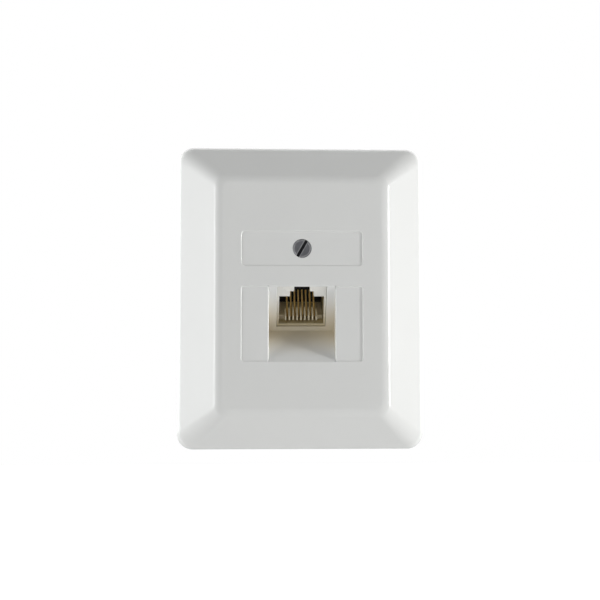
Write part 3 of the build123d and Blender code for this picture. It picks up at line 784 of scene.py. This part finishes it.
def cover_outer():
    """The cover's outer form with its two long roundings."""
    c = bpy.context.scene.wall_socket_cover
    front_width = c.width - 2 * c.side_bevel
    front_height = c.height - 2 * c.end_bevel
    piece = cushion(
        "cover_shell",
        c.width,
        c.height,
        c.side_height,
        front_width,
        front_height,
        c.depth,
        c.plan_corner,
        c.front_corner,
    )

    # Angles that the surface turns through, from the front to the bevel and from the bevel to the side
    front_turn = atan((c.depth - c.side_height) / c.side_bevel)
    side_turn = pi / 2 - front_turn
    front_inset = c.front_round * tan(front_turn / 2)
    side_inset = c.outer_round * tan(side_turn / 2)
    round_edges(piece, lambda e: on_plane(e, 1, -c.depth), front_inset, segments=12)
    round_edges(piece, lambda e: on_plane(e, 1, -c.side_height), side_inset, segments=12)
    return piece


def wall_step(slope):
    """Shift along the front of a bevel's edge from the outside of the cover's wall to its inside."""
    return bpy.context.scene.wall_socket_cover.wall * (1 - (1 + slope**2) ** 0.5) / slope


def cover_inner():
    """The hollow behind an even wall."""
    c = bpy.context.scene.wall_socket_cover
    side_slope = (c.depth - c.side_height) / c.side_bevel
    end_slope = (c.depth - c.side_height) / c.end_bevel
    width, height = c.width - 2 * c.wall, c.height - 2 * c.wall
    front_width = c.width - 2 * c.side_bevel + 2 * wall_step(side_slope)
    front_height = c.height - 2 * c.end_bevel + 2 * wall_step(end_slope)
    side = c.depth - c.wall - (width - front_width) / 2 * side_slope
    corner = c.plan_corner - c.wall
    return cushion(
        "cover_hollow",
        width,
        height,
        side,
        front_width,
        front_height,
        c.depth - c.wall,
        corner,
        corner / 2,
        back=MM,
    )


def hood_planes(behind):
    """A point and a normal of the jack wall's plane and of the ramp's, moved behind the surface."""
    c = bpy.context.scene.wall_socket_cover
    top = hood_top()
    crease = top + Vector((0, c.hood_depth, -c.hood_depth / tan(c.hood_tilt)))
    foot = Vector((0, -c.depth, top.z - c.jack_field_height))
    wall_normal = Vector((0, cos(c.hood_tilt), sin(c.hood_tilt)))
    down = (foot - crease).normalized()
    ramp_normal = Vector((0, -down.z, down.y))
    return (top + wall_normal * behind, wall_normal), (crease + ramp_normal * behind, ramp_normal)


def hood_wedge(name, half_width, behind, low, high):
    """A box cut to the wedge in front of the jack wall and the ramp."""
    piece = block(name, (-half_width, low[0], low[1]), (half_width, high[0], high[1]))
    for point, normal in hood_planes(behind):
        slice_off(piece, point, normal)
    return piece


class MESH_OT_wall_socket_cover(bpy.types.Operator):
    """Model the one-piece cover with its fields, hood and openings"""

    bl_idname = "mesh.wall_socket_cover"
    bl_label = "Cover"

    def execute(self, context):
        c = context.scene.wall_socket_cover
        j = context.scene.wall_socket_jack
        top = hood_top().z
        field_floor = -c.depth + c.field_depth
        field_bottom = top - c.jack_field_height
        half_field = c.field_width / 2
        cover = combine(cover_outer(), cover_inner())
        inner_front = -c.depth + c.wall
        skin_spare = 2.5 * MM
        skin = hood_wedge(
            "hood_skin",
            c.hood_width / 2 + c.hood_wall,
            c.hood_wall,
            (inner_front - MM, field_bottom - skin_spare),
            (inner_front + c.hood_depth + 2 * MM, top + skin_spare),
        )
        combine(cover, skin, "UNION")
        boss = rod("boss", (0, inner_front - MM, c.label_z), c.boss_radius, c.boss_reach + MM)
        combine(cover, boss, "UNION")

        # Fields, with their edges rounded before the hood is cut
        label = rounded_block(
            "label",
            (-half_field, -c.depth - MM, c.label_z - c.label_height / 2),
            (half_field, field_floor, c.label_z + c.label_height / 2),
            c.label_corner,
            segments=8,
        )
        spread(label, field_floor, -c.field_slope)
        combine(cover, label)
        field = rounded_block(
            "field",
            (-half_field, -c.depth - MM, field_bottom),
            (half_field, field_floor, top),
            c.jack_field_corner,
            segments=6,
        )
        spread(field, field_floor, -c.field_slope)
        combine(cover, field)

        def field_edge(e):
            middle = (e.verts[0].co + e.verts[1].co) / 2
            at_front = on_plane(e, 1, -c.depth)
            sharp = len(e.link_faces) == 2 and e.calc_face_angle(0) > CORNER_ANGLE
            in_fields = abs(middle.x) < half_field + NEAR and middle.z > field_bottom - NEAR
            return at_front and sharp and in_fields

        round_edges(cover, field_edge, c.field_edge, segments=4)

        # Tip of the ramp, which fills the lower edge of the jack field up to the front
        half_hood = c.hood_width / 2
        tip_lap = 0.3 * MM
        tip_length = 0.5 * MM
        tip_excess = 0.01 * MM
        tip = block(
            "ramp_tip",
            (-half_hood, -c.depth + LAP, field_bottom - tip_lap),
            (half_hood, field_floor + tip_lap, field_bottom + tip_length),
        )
        tip_point, tip_normal = hood_planes(-tip_excess)[1]
        slice_off(tip, tip_point, -tip_normal)
        combine(cover, tip, "UNION")

        # Hood with rounded upright edges, and a ramp that runs out into the front
        hood_low = (-c.depth - MM, field_bottom - tip_length)
        hood_high = (-c.depth + c.hood_depth + MM, top)
        combine(cover, hood_wedge("hood", half_hood, 0.0, hood_low, hood_high))
        flare_lap = 0.05 * MM
        flare_gap = 0.02 * MM
        inner_edge = half_hood - flare_lap
        outer_edge = half_hood + c.hood_edge
        for side in (-1, 1):
            flare = block(
                "flare",
                (min(side * inner_edge, side * outer_edge), -c.depth - MM, field_bottom + flare_gap),
                (max(side * inner_edge, side * outer_edge), field_floor + c.hood_edge, top - flare_gap),
            )
            clear_selection()
            bpy.ops.mesh.primitive_cylinder_add(
                vertices=96,
                radius=c.hood_edge,
                depth=4 * c.jack_field_height,
                location=(side * outer_edge, field_floor + c.hood_edge, 0),
            )
            combine(flare, settle(bpy.context.active_object))
            combine(cover, flare)

        # Cut-out for the jack's collar
        collar_half = j.cavity_width / 2 + j.collar_wall + j.fit_gap
        bottom = j.mouth_top + j.notch_drop + j.step_drop + j.cavity_drop + j.comb_drop + j.lip + j.fit_gap
        opening = block(
            "opening",
            (-collar_half, -MM, -bottom),
            (collar_half, j.setback + j.collar_length + j.fit_gap, -j.mouth_top),
        )
        combine(cover, place_in_jack(opening))
        (wall_point, wall_normal), _ = hood_planes(0.0)

        def opening_edge(e):
            on_wall = all(abs((v.co - wall_point).dot(wall_normal)) < NEAR for v in e.verts)
            return on_wall and all(same(abs(v.co.x), collar_half) for v in e.verts) and e.calc_length() > MM

        round_edges(cover, opening_edge, c.opening_edge, segments=4)

        # Sunk seat and hole for the cover screw
        before = (0, -c.depth - MM, c.label_z)
        seat = rod("seat", before, c.seat_radius, MM + c.field_depth + c.seat_depth, sides=96)
        combine(cover, seat)
        hole = rod("hole", before, c.screw_hole, MM + c.wall + c.boss_reach + MM, sides=48)
        combine(cover, hole)

        # Scored knock-out for a surface cable in the lower edge
        score = c.knockout_groove
        left = -c.knockout_offset - c.knockout_width / 2
        right = -c.knockout_offset + c.knockout_width / 2
        tall = c.knockout_height
        for low, high in (
            ((left, -tall, -c.height / 2 - MM), (left + score, MM, -c.height / 2 + score)),
            ((right - score, -tall, -c.height / 2 - MM), (right, MM, -c.height / 2 + score)),
            ((left, -tall, -c.height / 2 - MM), (right, -tall + score, -c.height / 2 + score)),
        ):
            combine(cover, block("score", low, high))
        tidy_mesh(cover)
        smooth(cover)
        enter(cover, ["cover"], cover_material())
        return {"FINISHED"}


def cover_material():
    """Smooth white plastic of the cover, with painted shade that turns it warmer and darker deep in the
    hood.
    """
    f = bpy.context.scene.wall_socket_finish
    material = plastic("Cover Plastic", f.cover, f.gloss, grain_depth=0.004, shade=0.02)
    # Painted shade: the cover's colour turns darker and warmer deeper in the hood
    return paint_recess_shade(material, f.cover, f.cover_painted_shade, front=-21.5 * MM, back=-15.5 * MM)


# Cover screw

class MESH_OT_wall_socket_screw(bpy.types.Operator):
    """Model the slotted cover screw with its rounded rim"""

    bl_idname = "mesh.wall_socket_screw"
    bl_label = "Cover screw"

    def execute(self, context):
        w = context.scene.wall_socket_screw
        middle_z = context.scene.wall_socket_cover.label_z
        low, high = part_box("cover_screw")
        head_radius = (high.x - low.x) / 2
        head = rod("cover_screw_new", (0, low.y, middle_z), head_radius, w.head_thickness, sides=96)
        round_edges(head, lambda e: on_plane(e, 1, low.y), w.rim_edge, segments=5)
        shank = rod("shank", (0, low.y + MM, middle_z), w.shank_radius, high.y - low.y - MM, sides=48)
        round_edges(shank, lambda e: on_plane(e, 1, high.y), w.tip_edge, segments=1)
        combine(head, shank, "UNION")
        slot_reach = head_radius + MM
        slot = block(
            "slot",
            (-slot_reach, low.y - MM, -w.slot_width / 2),
            (slot_reach, low.y + w.slot_depth, w.slot_width / 2),
        )
        slot.rotation_euler = (0, -w.slot_turn, 0)
        slot.location = (0, 0, middle_z)
        combine(head, settle(slot))

        def slot_rim(e):
            middle = (e.verts[0].co + e.verts[1].co) / 2
            reach = (middle.x**2 + (middle.z - middle_z) ** 2) ** 0.5
            return on_plane(e, 1, low.y) and e.calc_length() > MM and reach < head_radius / 2

        round_edges(head, slot_rim, w.slot_edge, segments=3)
        tidy_mesh(head)
        smooth(head)
        f = context.scene.wall_socket_finish
        middle = (0, 0, middle_z)
        steel = metal(
            "Turned Steel", f.steel, roughness=0.34, scratch_scale=420.0, turned_about=middle, depth=0.02
        )
        tree = steel.node_tree
        # Painted shade in the slot and painted highlights on its edges and a ring near the rim
        painted_light = add_node(tree, "ShaderNodeGroup", (-800, 350), {"node_tree": screw_painted_light()})
        painted_light.inputs["Colour"].default_value = (*f.steel, 1)
        painted_light.inputs["Dark"].default_value = (*f.steel_painted_shade, 1)
        painted_light.inputs["Painted Highlight"].default_value = (*f.steel_painted_highlight, 1)
        painted_light.inputs["Middle"].default_value = middle
        painted_light.inputs["Slot Turn"].default_value = w.slot_turn
        painted_light.inputs["Slot Half Width"].default_value = w.slot_width / 2
        painted_light.inputs["Ring"].default_value = head_radius - w.highlight_ring_inset
        wire_up(tree, (painted_light.outputs["Colour"], tree.nodes["Group"].inputs["Colour"]))
        enter(head, ["cover_screw"], steel)
        return {"FINISHED"}


# Jack

def jack_downs():
    """Distances down the slanted face where the jack's steps lie."""
    j = bpy.context.scene.wall_socket_jack
    step = j.mouth_top + j.notch_drop
    cavity = step + j.step_drop
    comb = cavity + j.cavity_drop
    floor = comb + j.comb_drop
    return {
        "top": j.mouth_top,
        "step": step,
        "cavity": cavity,
        "comb": comb,
        "plate": comb + j.comb_plate,
        "floor": floor,
        "collar": floor + j.lip,
        "body": floor + j.body_floor,
        "run": floor - j.wire - j.wire_gap,
    }


def jack_block(name, width, shallow, deep, top, bottom):
    """A box in the jack's own frame, between two depths and two distances down the face."""
    return block(name, (-width / 2, shallow, -bottom), (width / 2, deep, -top))


class MESH_OT_wall_socket_jack(bpy.types.Operator):
    """Model the jack's housing with its collar and stepped mouth"""

    bl_idname = "mesh.wall_socket_jack"
    bl_label = "Jack housing"

    def execute(self, context):
        j = context.scene.wall_socket_jack
        d = jack_downs()
        collar_end = j.setback + j.collar_length
        collar_width = j.cavity_width + 2 * j.collar_wall
        body_width = j.cavity_width + 2 * j.body_side
        collar_top = d["top"] + j.fit_gap
        housing = jack_block(
            "jack_housing_new", collar_width, j.setback, collar_end + MM, collar_top, d["collar"]
        )
        body = jack_block("body", body_width, collar_end, j.depth, d["top"] - j.body_top, d["body"])
        combine(housing, body, "UNION")
        before, behind = j.setback - MM, j.depth + MM
        for name, width, end, upper, lower in (
            ("cavity", j.cavity_width, behind, d["cavity"], d["floor"]),
            ("steps", j.step_width, j.latch_depth, d["step"], d["cavity"] + MM),
            ("notch", j.notch_width, j.latch_depth, -MM, d["step"] + MM),
        ):
            combine(housing, jack_block(name, width, before, end, upper, lower))
        tidy_mesh(housing)

        def mouth_edge(e):
            return on_plane(e, 1, j.setback) and e.calc_face_angle(0) > CORNER_ANGLE

        round_edges(housing, mouth_edge, j.mouth_edge, segments=3)
        tidy_mesh(housing)
        smooth(housing)
        place_in_jack(housing)
        f = context.scene.wall_socket_finish
        material = plastic("Jack Plastic", f.jack, roughness=0.28, grain_depth=0.004)
        # Painted shade: the housing turns darker and warmer deeper in the hood
        paint_recess_shade(material, f.jack, f.jack_painted_shade, front=-20.5 * MM, back=-14.5 * MM)
        enter(housing, ["jack_housing"], material)
        return {"FINISHED"}


class MESH_OT_wall_socket_comb(bpy.types.Operator):
    """Model the contact comb: a plate on two feet with nine tapered ribs"""

    bl_idname = "mesh.wall_socket_comb"
    bl_label = "Contact comb"

    def execute(self, context):
        j = context.scene.wall_socket_jack
        d = jack_downs()
        width = j.cavity_width - 2 * j.comb_gap
        plate = jack_block("contact_comb_new", width, j.comb_front, j.depth, d["comb"], d["plate"])

        def front_edge(e):
            return on_plane(e, 1, j.comb_front) and runs_along(e, 0)

        round_edges(plate, front_edge, j.comb_edge, segments=3)
        slots = jack_block(
            "slots", CONTACTS * j.pitch, j.comb_front - MM, j.slot_end, d["comb"] - MM, d["plate"] + MM
        )
        combine(plate, slots)
        pieces = [plate]
        foot_lap = 0.2 * MM
        for side in (-1, 1):
            foot = jack_block(
                "foot", j.comb_foot, j.comb_front, j.depth, d["plate"] - foot_lap, d["floor"]
            )
            foot.location = (side * (width - j.comb_foot) / 2, 0, 0)
            combine(plate, settle(foot), "UNION")

        def upper_edge(e):
            return max(v.co.z for v in e.verts) > -d["comb"] + NEAR

        # Ribs on both sides of every wire, each tapered to a peak a third of its length before its end
        rib_lap = 0.02 * MM
        rib_spare = 0.2 * MM
        end = j.rib_front + j.rib_length
        peak = end - j.rib_length / 3
        for number in range(CONTACTS + 1):
            height = j.rib_height * (j.outer_rib if number in (0, CONTACTS) else 1)
            top = d["comb"] - height - rib_spare
            rib = jack_block("rib", j.rib_thickness, j.rib_front, end, top, d["plate"] - rib_lap)
            front_low = Vector((0, j.rib_front, -d["comb"] + height / 3))
            summit = Vector((0, peak, -d["comb"] + height))
            rise = summit - front_low
            fall = Vector((0, end - peak, -height))
            slice_off(rib, front_low, Vector((0, -rise.z, rise.y)))
            slice_off(rib, summit, Vector((0, -fall.z, fall.y)))
            round_edges(rib, upper_edge, j.rib_edge, segments=3)
            rib.location = ((number - CONTACTS / 2) * j.pitch, 0, 0)
            pieces.append(settle(rib))
        comb = join(pieces, "contact_comb_new")
        smooth(comb)
        place_in_jack(comb)
        f = context.scene.wall_socket_finish
        ivory = plastic("Comb Plastic", f.comb, roughness=0.38, shade=0.06)
        enter(comb, ["contact_comb"], ivory)
        return {"FINISHED"}


def follow(piece, start, heading, legs):
    """Draw a ring along straight legs, each ended by a bend: (length, bend radius, turn)."""
    pick(piece, "FACE", lambda f: True)
    place = Vector(start)
    step_angle = radians(10)
    for leg, radius, bend in legs:
        way = Vector((0, cos(heading), sin(heading)))
        bpy.ops.mesh.extrude_region_move(TRANSFORM_OT_translate={"value": way * leg})
        place += way * leg
        if not bend:
            continue
        towards = Vector((0, -sin(heading), cos(heading))) * (1 if bend > 0 else -1)
        centre = place + towards * radius
        steps = max(4, round(abs(bend) / step_angle))
        bpy.ops.mesh.spin(steps=steps, angle=-bend, center=centre, axis=(1, 0, 0))
        place = centre - Matrix.Rotation(bend, 3, "X") @ (towards * radius)
        heading += bend
    close_edit()


def wire_legs(far):
    """Where a contact wire starts, its heading there, and its legs, in the jack's own frame."""
    j = bpy.context.scene.wall_socket_jack
    tilt = bpy.context.scene.wall_socket_cover.hood_tilt
    d = jack_downs()
    top = hood_top()
    turn_deep = j.wire_start + j.wire_turn
    sweep = pi - j.arm_tilt
    foot = Vector((0, turn_deep - j.wire_turn * sin(sweep), -d["run"] + j.wire_turn * (1 - cos(sweep))))
    arm = (j.arm_end - foot.y) / cos(j.arm_tilt)
    start = foot + Vector((0, cos(j.arm_tilt), sin(j.arm_tilt))) * arm

    # Way out of the housing, and the solder rows above it
    out_z = top.z - d["run"] * cos(tilt) + j.depth * sin(tilt)
    near_z = out_z + j.first_row
    near_deep = (near_z - top.z + d["run"] * cos(tilt)) / sin(tilt)
    tail_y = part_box("contact_wire_1")[1].y

    def world_y(deep):
        return top.y + d["run"] * sin(tilt) + deep * cos(tilt)

    legs = [(arm, j.wire_turn, sweep)]
    if far:
        far_deep = near_deep - j.wire_bend
        upward = pi / 2 - tilt
        ease = j.wire_bend * tan(upward / 2)
        rise = near_z + j.row_spacing - (top.z - d["run"] * cos(tilt) + far_deep * sin(tilt))
        legs.append((far_deep - turn_deep - ease, j.wire_bend, upward))
        legs.append((rise - ease - j.wire_bend, j.wire_bend, -pi / 2))
        legs.append((tail_y - world_y(far_deep) - j.wire_bend, 0, 0))
    else:
        ease = j.wire_bend * tan(tilt / 2)
        legs.append((near_deep - turn_deep - ease, j.wire_bend, -tilt))
        legs.append((tail_y - world_y(near_deep) - ease, 0, 0))
    return start, pi + j.arm_tilt, legs


class MESH_OT_wall_socket_wires(bpy.types.Operator):
    """Model the eight gold-plated spring contacts"""

    bl_idname = "mesh.wall_socket_wires"
    bl_label = "Contact wires"

    def execute(self, context):
        j = context.scene.wall_socket_jack
        f = context.scene.wall_socket_finish
        gold = metal("Gold Plating", f.gold, roughness=0.42, scratch_scale=1500.0, depth=0.004)
        shader = gold.node_tree.nodes["Principled BSDF"]
        shader.inputs["Metallic"].default_value = f.gold_metallic
        for number in range(CONTACTS):
            start, heading, legs = wire_legs(number % 2 == 1)
            clear_selection()
            bpy.ops.mesh.primitive_circle_add(
                vertices=16,
                radius=j.wire,
                fill_type="NGON",
                location=start,
                rotation=(heading - pi / 2, 0, 0),
            )
            wire = bpy.context.active_object
            wire.name = f"contact_wire_{number + 1}_new"
            settle(wire)
            follow(wire, start, heading, legs)
            tidy_mesh(wire)
            smooth(wire, limit=40)
            wire.location = ((number - (CONTACTS - 1) / 2) * j.pitch, 0, 0)
            settle(wire)
            place_in_jack(wire)
            enter(wire, [f"contact_wire_{number + 1}"], gold)
        return {"FINISHED"}


# Finishes of the CAD pieces that keep their shape

def laminate(name, tone):
    """Glass laminate under a glossy resist, with the faint weave of the glass."""
    if name in bpy.data.materials:
        return bpy.data.materials[name]
    material = plastic(name, tone, roughness=0.3, grain_depth=0.004, shade=0.12, coat=0.4)
    tree = material.node_tree
    shader = tree.nodes["Principled BSDF"]
    where = add_node(tree, "ShaderNodeTexCoord", (-1100, -500))
    weave = add_node(tree, "ShaderNodeTexChecker", (-850, -500), Scale=1400.0)
    bump = add_node(tree, "ShaderNodeBump", (-250, -500), Strength=0.15, Distance=0.01 * MM)
    wire_up(
        tree,
        (where.outputs["Object"], weave.inputs["Vector"]),
        (weave.outputs["Fac"], bump.inputs["Height"]),
        (tree.nodes["Bump"].outputs["Normal"], bump.inputs["Normal"]),
        (bump.outputs["Normal"], shader.inputs["Normal"]),
    )
    return material


def give(node, material):
    """Put a material on a CAD piece."""
    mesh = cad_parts[node].data
    mesh.materials.clear()
    mesh.materials.append(material)


class MATERIAL_OT_wall_socket_finish(bpy.types.Operator):
    """Give the CAD pieces behind the cover their materials"""

    bl_idname = "material.wall_socket_finish"
    bl_label = "Inner finishes"

    def execute(self, context):
        f = context.scene.wall_socket_finish
        base = plastic("Base Plastic", f.base, roughness=0.5, grain_depth=0.02, shade=0.05)
        cap = plastic("Cap Plastic", f.cap, roughness=0.45, grain_depth=0.01, shade=0.1)
        nylon = plastic("Nylon", f.nylon, roughness=0.4, grain_depth=0.008, shade=0.05)
        terminal = plastic("Terminal Plastic", f.terminal, roughness=0.42, grain_depth=0.01, shade=0.05)
        zinc = metal("Zinc Plating", f.zinc, roughness=0.3)
        tin = metal("Tin Plating", f.tin, roughness=0.26, scratch_scale=1200.0, depth=0.006)
        brass = metal("Brass", f.brass, roughness=0.3, scratch_scale=600.0)
        give("base_plate", base)
        give("cable_clamp", base)
        # The cap's black also stands in for shade deep in the jack
        give("jack_rear_cap", cap)
        give("screw_retainer", nylon)
        give("threaded_insert", brass)
        give("circuit_board", laminate("Board Laminate", f.board))
        for side in ("left", "right"):
            give(f"terminal_block_{side}", terminal)
        for node in ("board_screws", "clamp_screws"):
            give(node, zinc)
        for number in range(CONTACTS):
            give(f"terminal_contact_{number + 1}", tin)
        return {"FINISHED"}


# Studio

def soft_light(name, place, width, height, power, matt_share, look_at):
    """A softbox that faces a point."""
    light = bpy.data.lights.new(name, "AREA")
    light.shape = "RECTANGLE"
    light.size = width
    light.size_y = height
    light.energy = power
    light.diffuse_factor = matt_share
    lamp = bpy.data.objects.new(name, light)
    bpy.context.scene.collection.objects.link(lamp)
    lamp.location = place
    lamp.rotation_euler = (Vector(look_at) - Vector(place)).to_track_quat("-Z", "Y").to_euler()


def grey(value):
    """A grey as a colour with its alpha."""
    return (value, value, value, 1)


def floor_material(tone):
    """Studio floor with a faint shade change, which the camera sees as pure white."""
    material = plastic("Studio Floor", tone, roughness=0.8, grain_depth=0.001, shade=0.01)
    tree = material.node_tree
    shader = tree.nodes["Principled BSDF"]
    tree.nodes["Group"].inputs["Cloud Scale"].default_value = 4.0
    seen = add_node(tree, "ShaderNodeLightPath", (-250, -500))
    shader.inputs["Emission Color"].default_value = grey(1)
    wire_up(tree, (seen.outputs["Is Camera Ray"], shader.inputs["Emission Strength"]))
    return material


def studio_world():
    """Pure white for the camera, and a soft room for the light."""
    s = bpy.context.scene.wall_socket_studio
    world = bpy.data.worlds.new("Studio")
    bpy.context.scene.world = world
    world.use_nodes = True
    tree = world.node_tree
    tree.nodes.clear()
    end = add_node(tree, "ShaderNodeOutputWorld", (500, 0))
    mix = add_node(tree, "ShaderNodeMixShader", (300, 0))
    seen = add_node(tree, "ShaderNodeLightPath", (0, 250))
    white = add_node(tree, "ShaderNodeBackground", (0, 0), Color=grey(1), Strength=1.0)
    room = add_node(tree, "ShaderNodeBackground", (0, -150))
    where = add_node(tree, "ShaderNodeTexCoord", (-900, -150))
    split = add_node(tree, "ShaderNodeSeparateXYZ", (-700, -150))
    scale = add_node(tree, "ShaderNodeMapRange", (-500, -150), From_Min=-1.0, From_Max=1.0)
    ramp = add_node(tree, "ShaderNodeValToRGB", (-300, -150))
    ramp.color_ramp.elements[0].color = grey(s.room_low)
    ramp.color_ramp.elements[1].color = grey(s.room_high)
    level = ramp.color_ramp.elements.new(0.5)
    level.color = grey(s.room_level)
    behind = add_node(tree, "ShaderNodeMapRange", (-500, -450), From_Min=0.1, From_Max=0.45)
    above = add_node(tree, "ShaderNodeMapRange", (-500, -700), From_Min=-0.35, From_Max=0.1)
    both = add_node(tree, "ShaderNodeMath", (-300, -550), {"operation": "MULTIPLY"})
    glow = add_node(tree, "ShaderNodeBackground", (0, -450))
    lift = add_node(tree, "ShaderNodeMath", (-150, -550), {"operation": "MULTIPLY"})
    lift.inputs[1].default_value = s.backdrop
    dim = add_node(tree, "ShaderNodeMapRange", (-300, -350), To_Min=s.ambient)
    dim.inputs["To Max"].default_value = s.room_behind * s.ambient
    total = add_node(tree, "ShaderNodeAddShader", (180, -250))
    sideways = add_node(tree, "ShaderNodeMath", (-700, -900), {"operation": "ABSOLUTE"})
    beside = add_node(
        tree,
        "ShaderNodeMapRange",
        (-500, -900),
        {"interpolation_type": "SMOOTHSTEP"},
        From_Min=0.5,
        From_Max=0.95,
        To_Max=s.flanks,
    )
    balance = add_node(tree, "ShaderNodeMapRange", (-500, -1150), From_Min=-1.0)
    balance.inputs["To Min"].default_value = s.left_flank
    balance.inputs["To Max"].default_value = s.right_flank
    shares = add_node(tree, "ShaderNodeMath", (-300, -1000), {"operation": "MULTIPLY"})
    walls = add_node(tree, "ShaderNodeBackground", (0, -650), Color=(0.97, 0.985, 1, 1))
    room_and_walls = add_node(tree, "ShaderNodeAddShader", (180, -400))
    wire_up(
        tree,
        (where.outputs["Generated"], split.inputs[0]),
        (split.outputs["Z"], scale.inputs["Value"]),
        (split.outputs["Y"], behind.inputs["Value"]),
        (behind.outputs[0], dim.inputs["Value"]),
        (dim.outputs[0], room.inputs["Strength"]),
        (split.outputs["Z"], above.inputs["Value"]),
        (behind.outputs[0], both.inputs[0]),
        (above.outputs[0], both.inputs[1]),
        (both.outputs[0], lift.inputs[0]),
        (lift.outputs[0], glow.inputs["Strength"]),
        (scale.outputs[0], ramp.inputs["Fac"]),
        (ramp.outputs["Color"], room.inputs["Color"]),
        (split.outputs["X"], sideways.inputs[0]),
        (sideways.outputs[0], beside.inputs["Value"]),
        (split.outputs["X"], balance.inputs["Value"]),
        (beside.outputs[0], shares.inputs[0]),
        (balance.outputs[0], shares.inputs[1]),
        (shares.outputs[0], walls.inputs["Strength"]),
        (room.outputs[0], room_and_walls.inputs[0]),
        (walls.outputs[0], room_and_walls.inputs[1]),
        (room_and_walls.outputs[0], total.inputs[0]),
        (glow.outputs[0], total.inputs[1]),
        (seen.outputs["Is Camera Ray"], mix.inputs["Fac"]),
        (total.outputs[0], mix.inputs[1]),
        (white.outputs[0], mix.inputs[2]),
        (mix.outputs[0], end.inputs["Surface"]),
    )


class SCENE_OT_wall_socket_studio(bpy.types.Operator):
    """Set up the floor, the light and the camera"""

    bl_idname = "scene.wall_socket_studio"
    bl_label = "Studio"

    def execute(self, context):
        scene = context.scene
        s = scene.wall_socket_studio
        middle_y = (COVER_LOW.y + COVER_HIGH.y) / 2
        clear_selection()
        floor_place = (0, 0, COVER_LOW.z - s.floor_drop)
        bpy.ops.mesh.primitive_plane_add(size=s.floor_size, location=floor_place)
        floor = bpy.context.active_object
        floor.name = "studio_floor"
        floor.data.materials.append(floor_material(s.floor_tone))
        aim = Vector((0, middle_y, 0))
        for name, side, power, spread, lift in (
            ("softbox_left", -1, s.left_light, s.left_angle, 0.0),
            ("softbox_right", 1, s.right_light, s.right_angle, s.right_lift),
        ):
            place = Vector((side * s.reach * sin(spread), middle_y - s.reach * cos(spread), lift))
            soft_light(name, place, s.box_width, s.box_height, power, s.matt_share, aim)
        studio_world()
        scene.view_settings.view_transform = "Standard"

        # Camera round the socket
        back = Vector(
            (sin(s.azimuth) * cos(s.elevation), -cos(s.azimuth) * cos(s.elevation), sin(s.elevation))
        )
        right = Vector((cos(s.azimuth), sin(s.azimuth), 0))
        up = back.cross(right)
        turned_right = right * cos(s.roll) + up * sin(s.roll)
        turned_up = back.cross(turned_right)
        camera = bpy.data.objects.new("camera", bpy.data.cameras.new("camera"))
        scene.collection.objects.link(camera)
        camera.data.lens = s.lens
        camera.data.sensor_width = 36
        camera.data.clip_start = 0.01
        camera.data.clip_end = 20
        place = Vector((0, middle_y, s.aim_z)) + back * s.distance
        turned = Matrix((turned_right, turned_up, back)).transposed()
        camera.matrix_world = Matrix.Translation(place) @ turned.to_4x4()
        scene.camera = camera
        return {"FINISHED"}


# Panel

class VIEW3D_PT_wall_socket(bpy.types.Panel):
    """Sizes, finishes and steps of the wall socket"""

    bl_label = "Wall Socket"
    bl_space_type = "VIEW_3D"
    bl_region_type = "UI"
    bl_category = "Wall Socket"

    def draw(self, context):
        layout = self.layout
        for label, settings in (
            ("Cover", context.scene.wall_socket_cover),
            ("Screw", context.scene.wall_socket_screw),
            ("Jack", context.scene.wall_socket_jack),
            ("Finish", context.scene.wall_socket_finish),
            ("Studio", context.scene.wall_socket_studio),
        ):
            box = layout.box()
            box.label(text=label)
            for key in settings.__annotations__:
                box.prop(settings, key)
        for operator in OPERATORS:
            layout.operator(operator.bl_idname)


GROUPS = {
    "wall_socket_cover": WallSocketCoverSizes,
    "wall_socket_screw": WallSocketScrewSizes,
    "wall_socket_jack": WallSocketJackSizes,
    "wall_socket_finish": WallSocketFinish,
    "wall_socket_studio": WallSocketStudio,
}
OPERATORS = (
    MESH_OT_wall_socket_cover,
    MESH_OT_wall_socket_screw,
    MESH_OT_wall_socket_jack,
    MESH_OT_wall_socket_comb,
    MESH_OT_wall_socket_wires,
    MATERIAL_OT_wall_socket_finish,
    SCENE_OT_wall_socket_studio,
)


def register():
    """Register the settings, the operators and the panel."""
    for name, group in GROUPS.items():
        bpy.utils.register_class(group)
        setattr(bpy.types.Scene, name, bpy.props.PointerProperty(type=group))
    for item in (*OPERATORS, VIEW3D_PT_wall_socket):
        bpy.utils.register_class(item)


def unregister():
    """Take everything back out."""
    for item in (VIEW3D_PT_wall_socket, *reversed(OPERATORS)):
        bpy.utils.unregister_class(item)
    for name, group in GROUPS.items():
        delattr(bpy.types.Scene, name)
        bpy.utils.unregister_class(group)


def main():
    """Build every piece, the finishes and the studio."""
    register()
    bpy.ops.mesh.wall_socket_cover()
    bpy.ops.mesh.wall_socket_screw()
    bpy.ops.mesh.wall_socket_jack()
    bpy.ops.mesh.wall_socket_comb()
    bpy.ops.mesh.wall_socket_wires()
    bpy.ops.material.wall_socket_finish()
    bpy.ops.scene.wall_socket_studio()


if __name__ == "__main__":
    main()
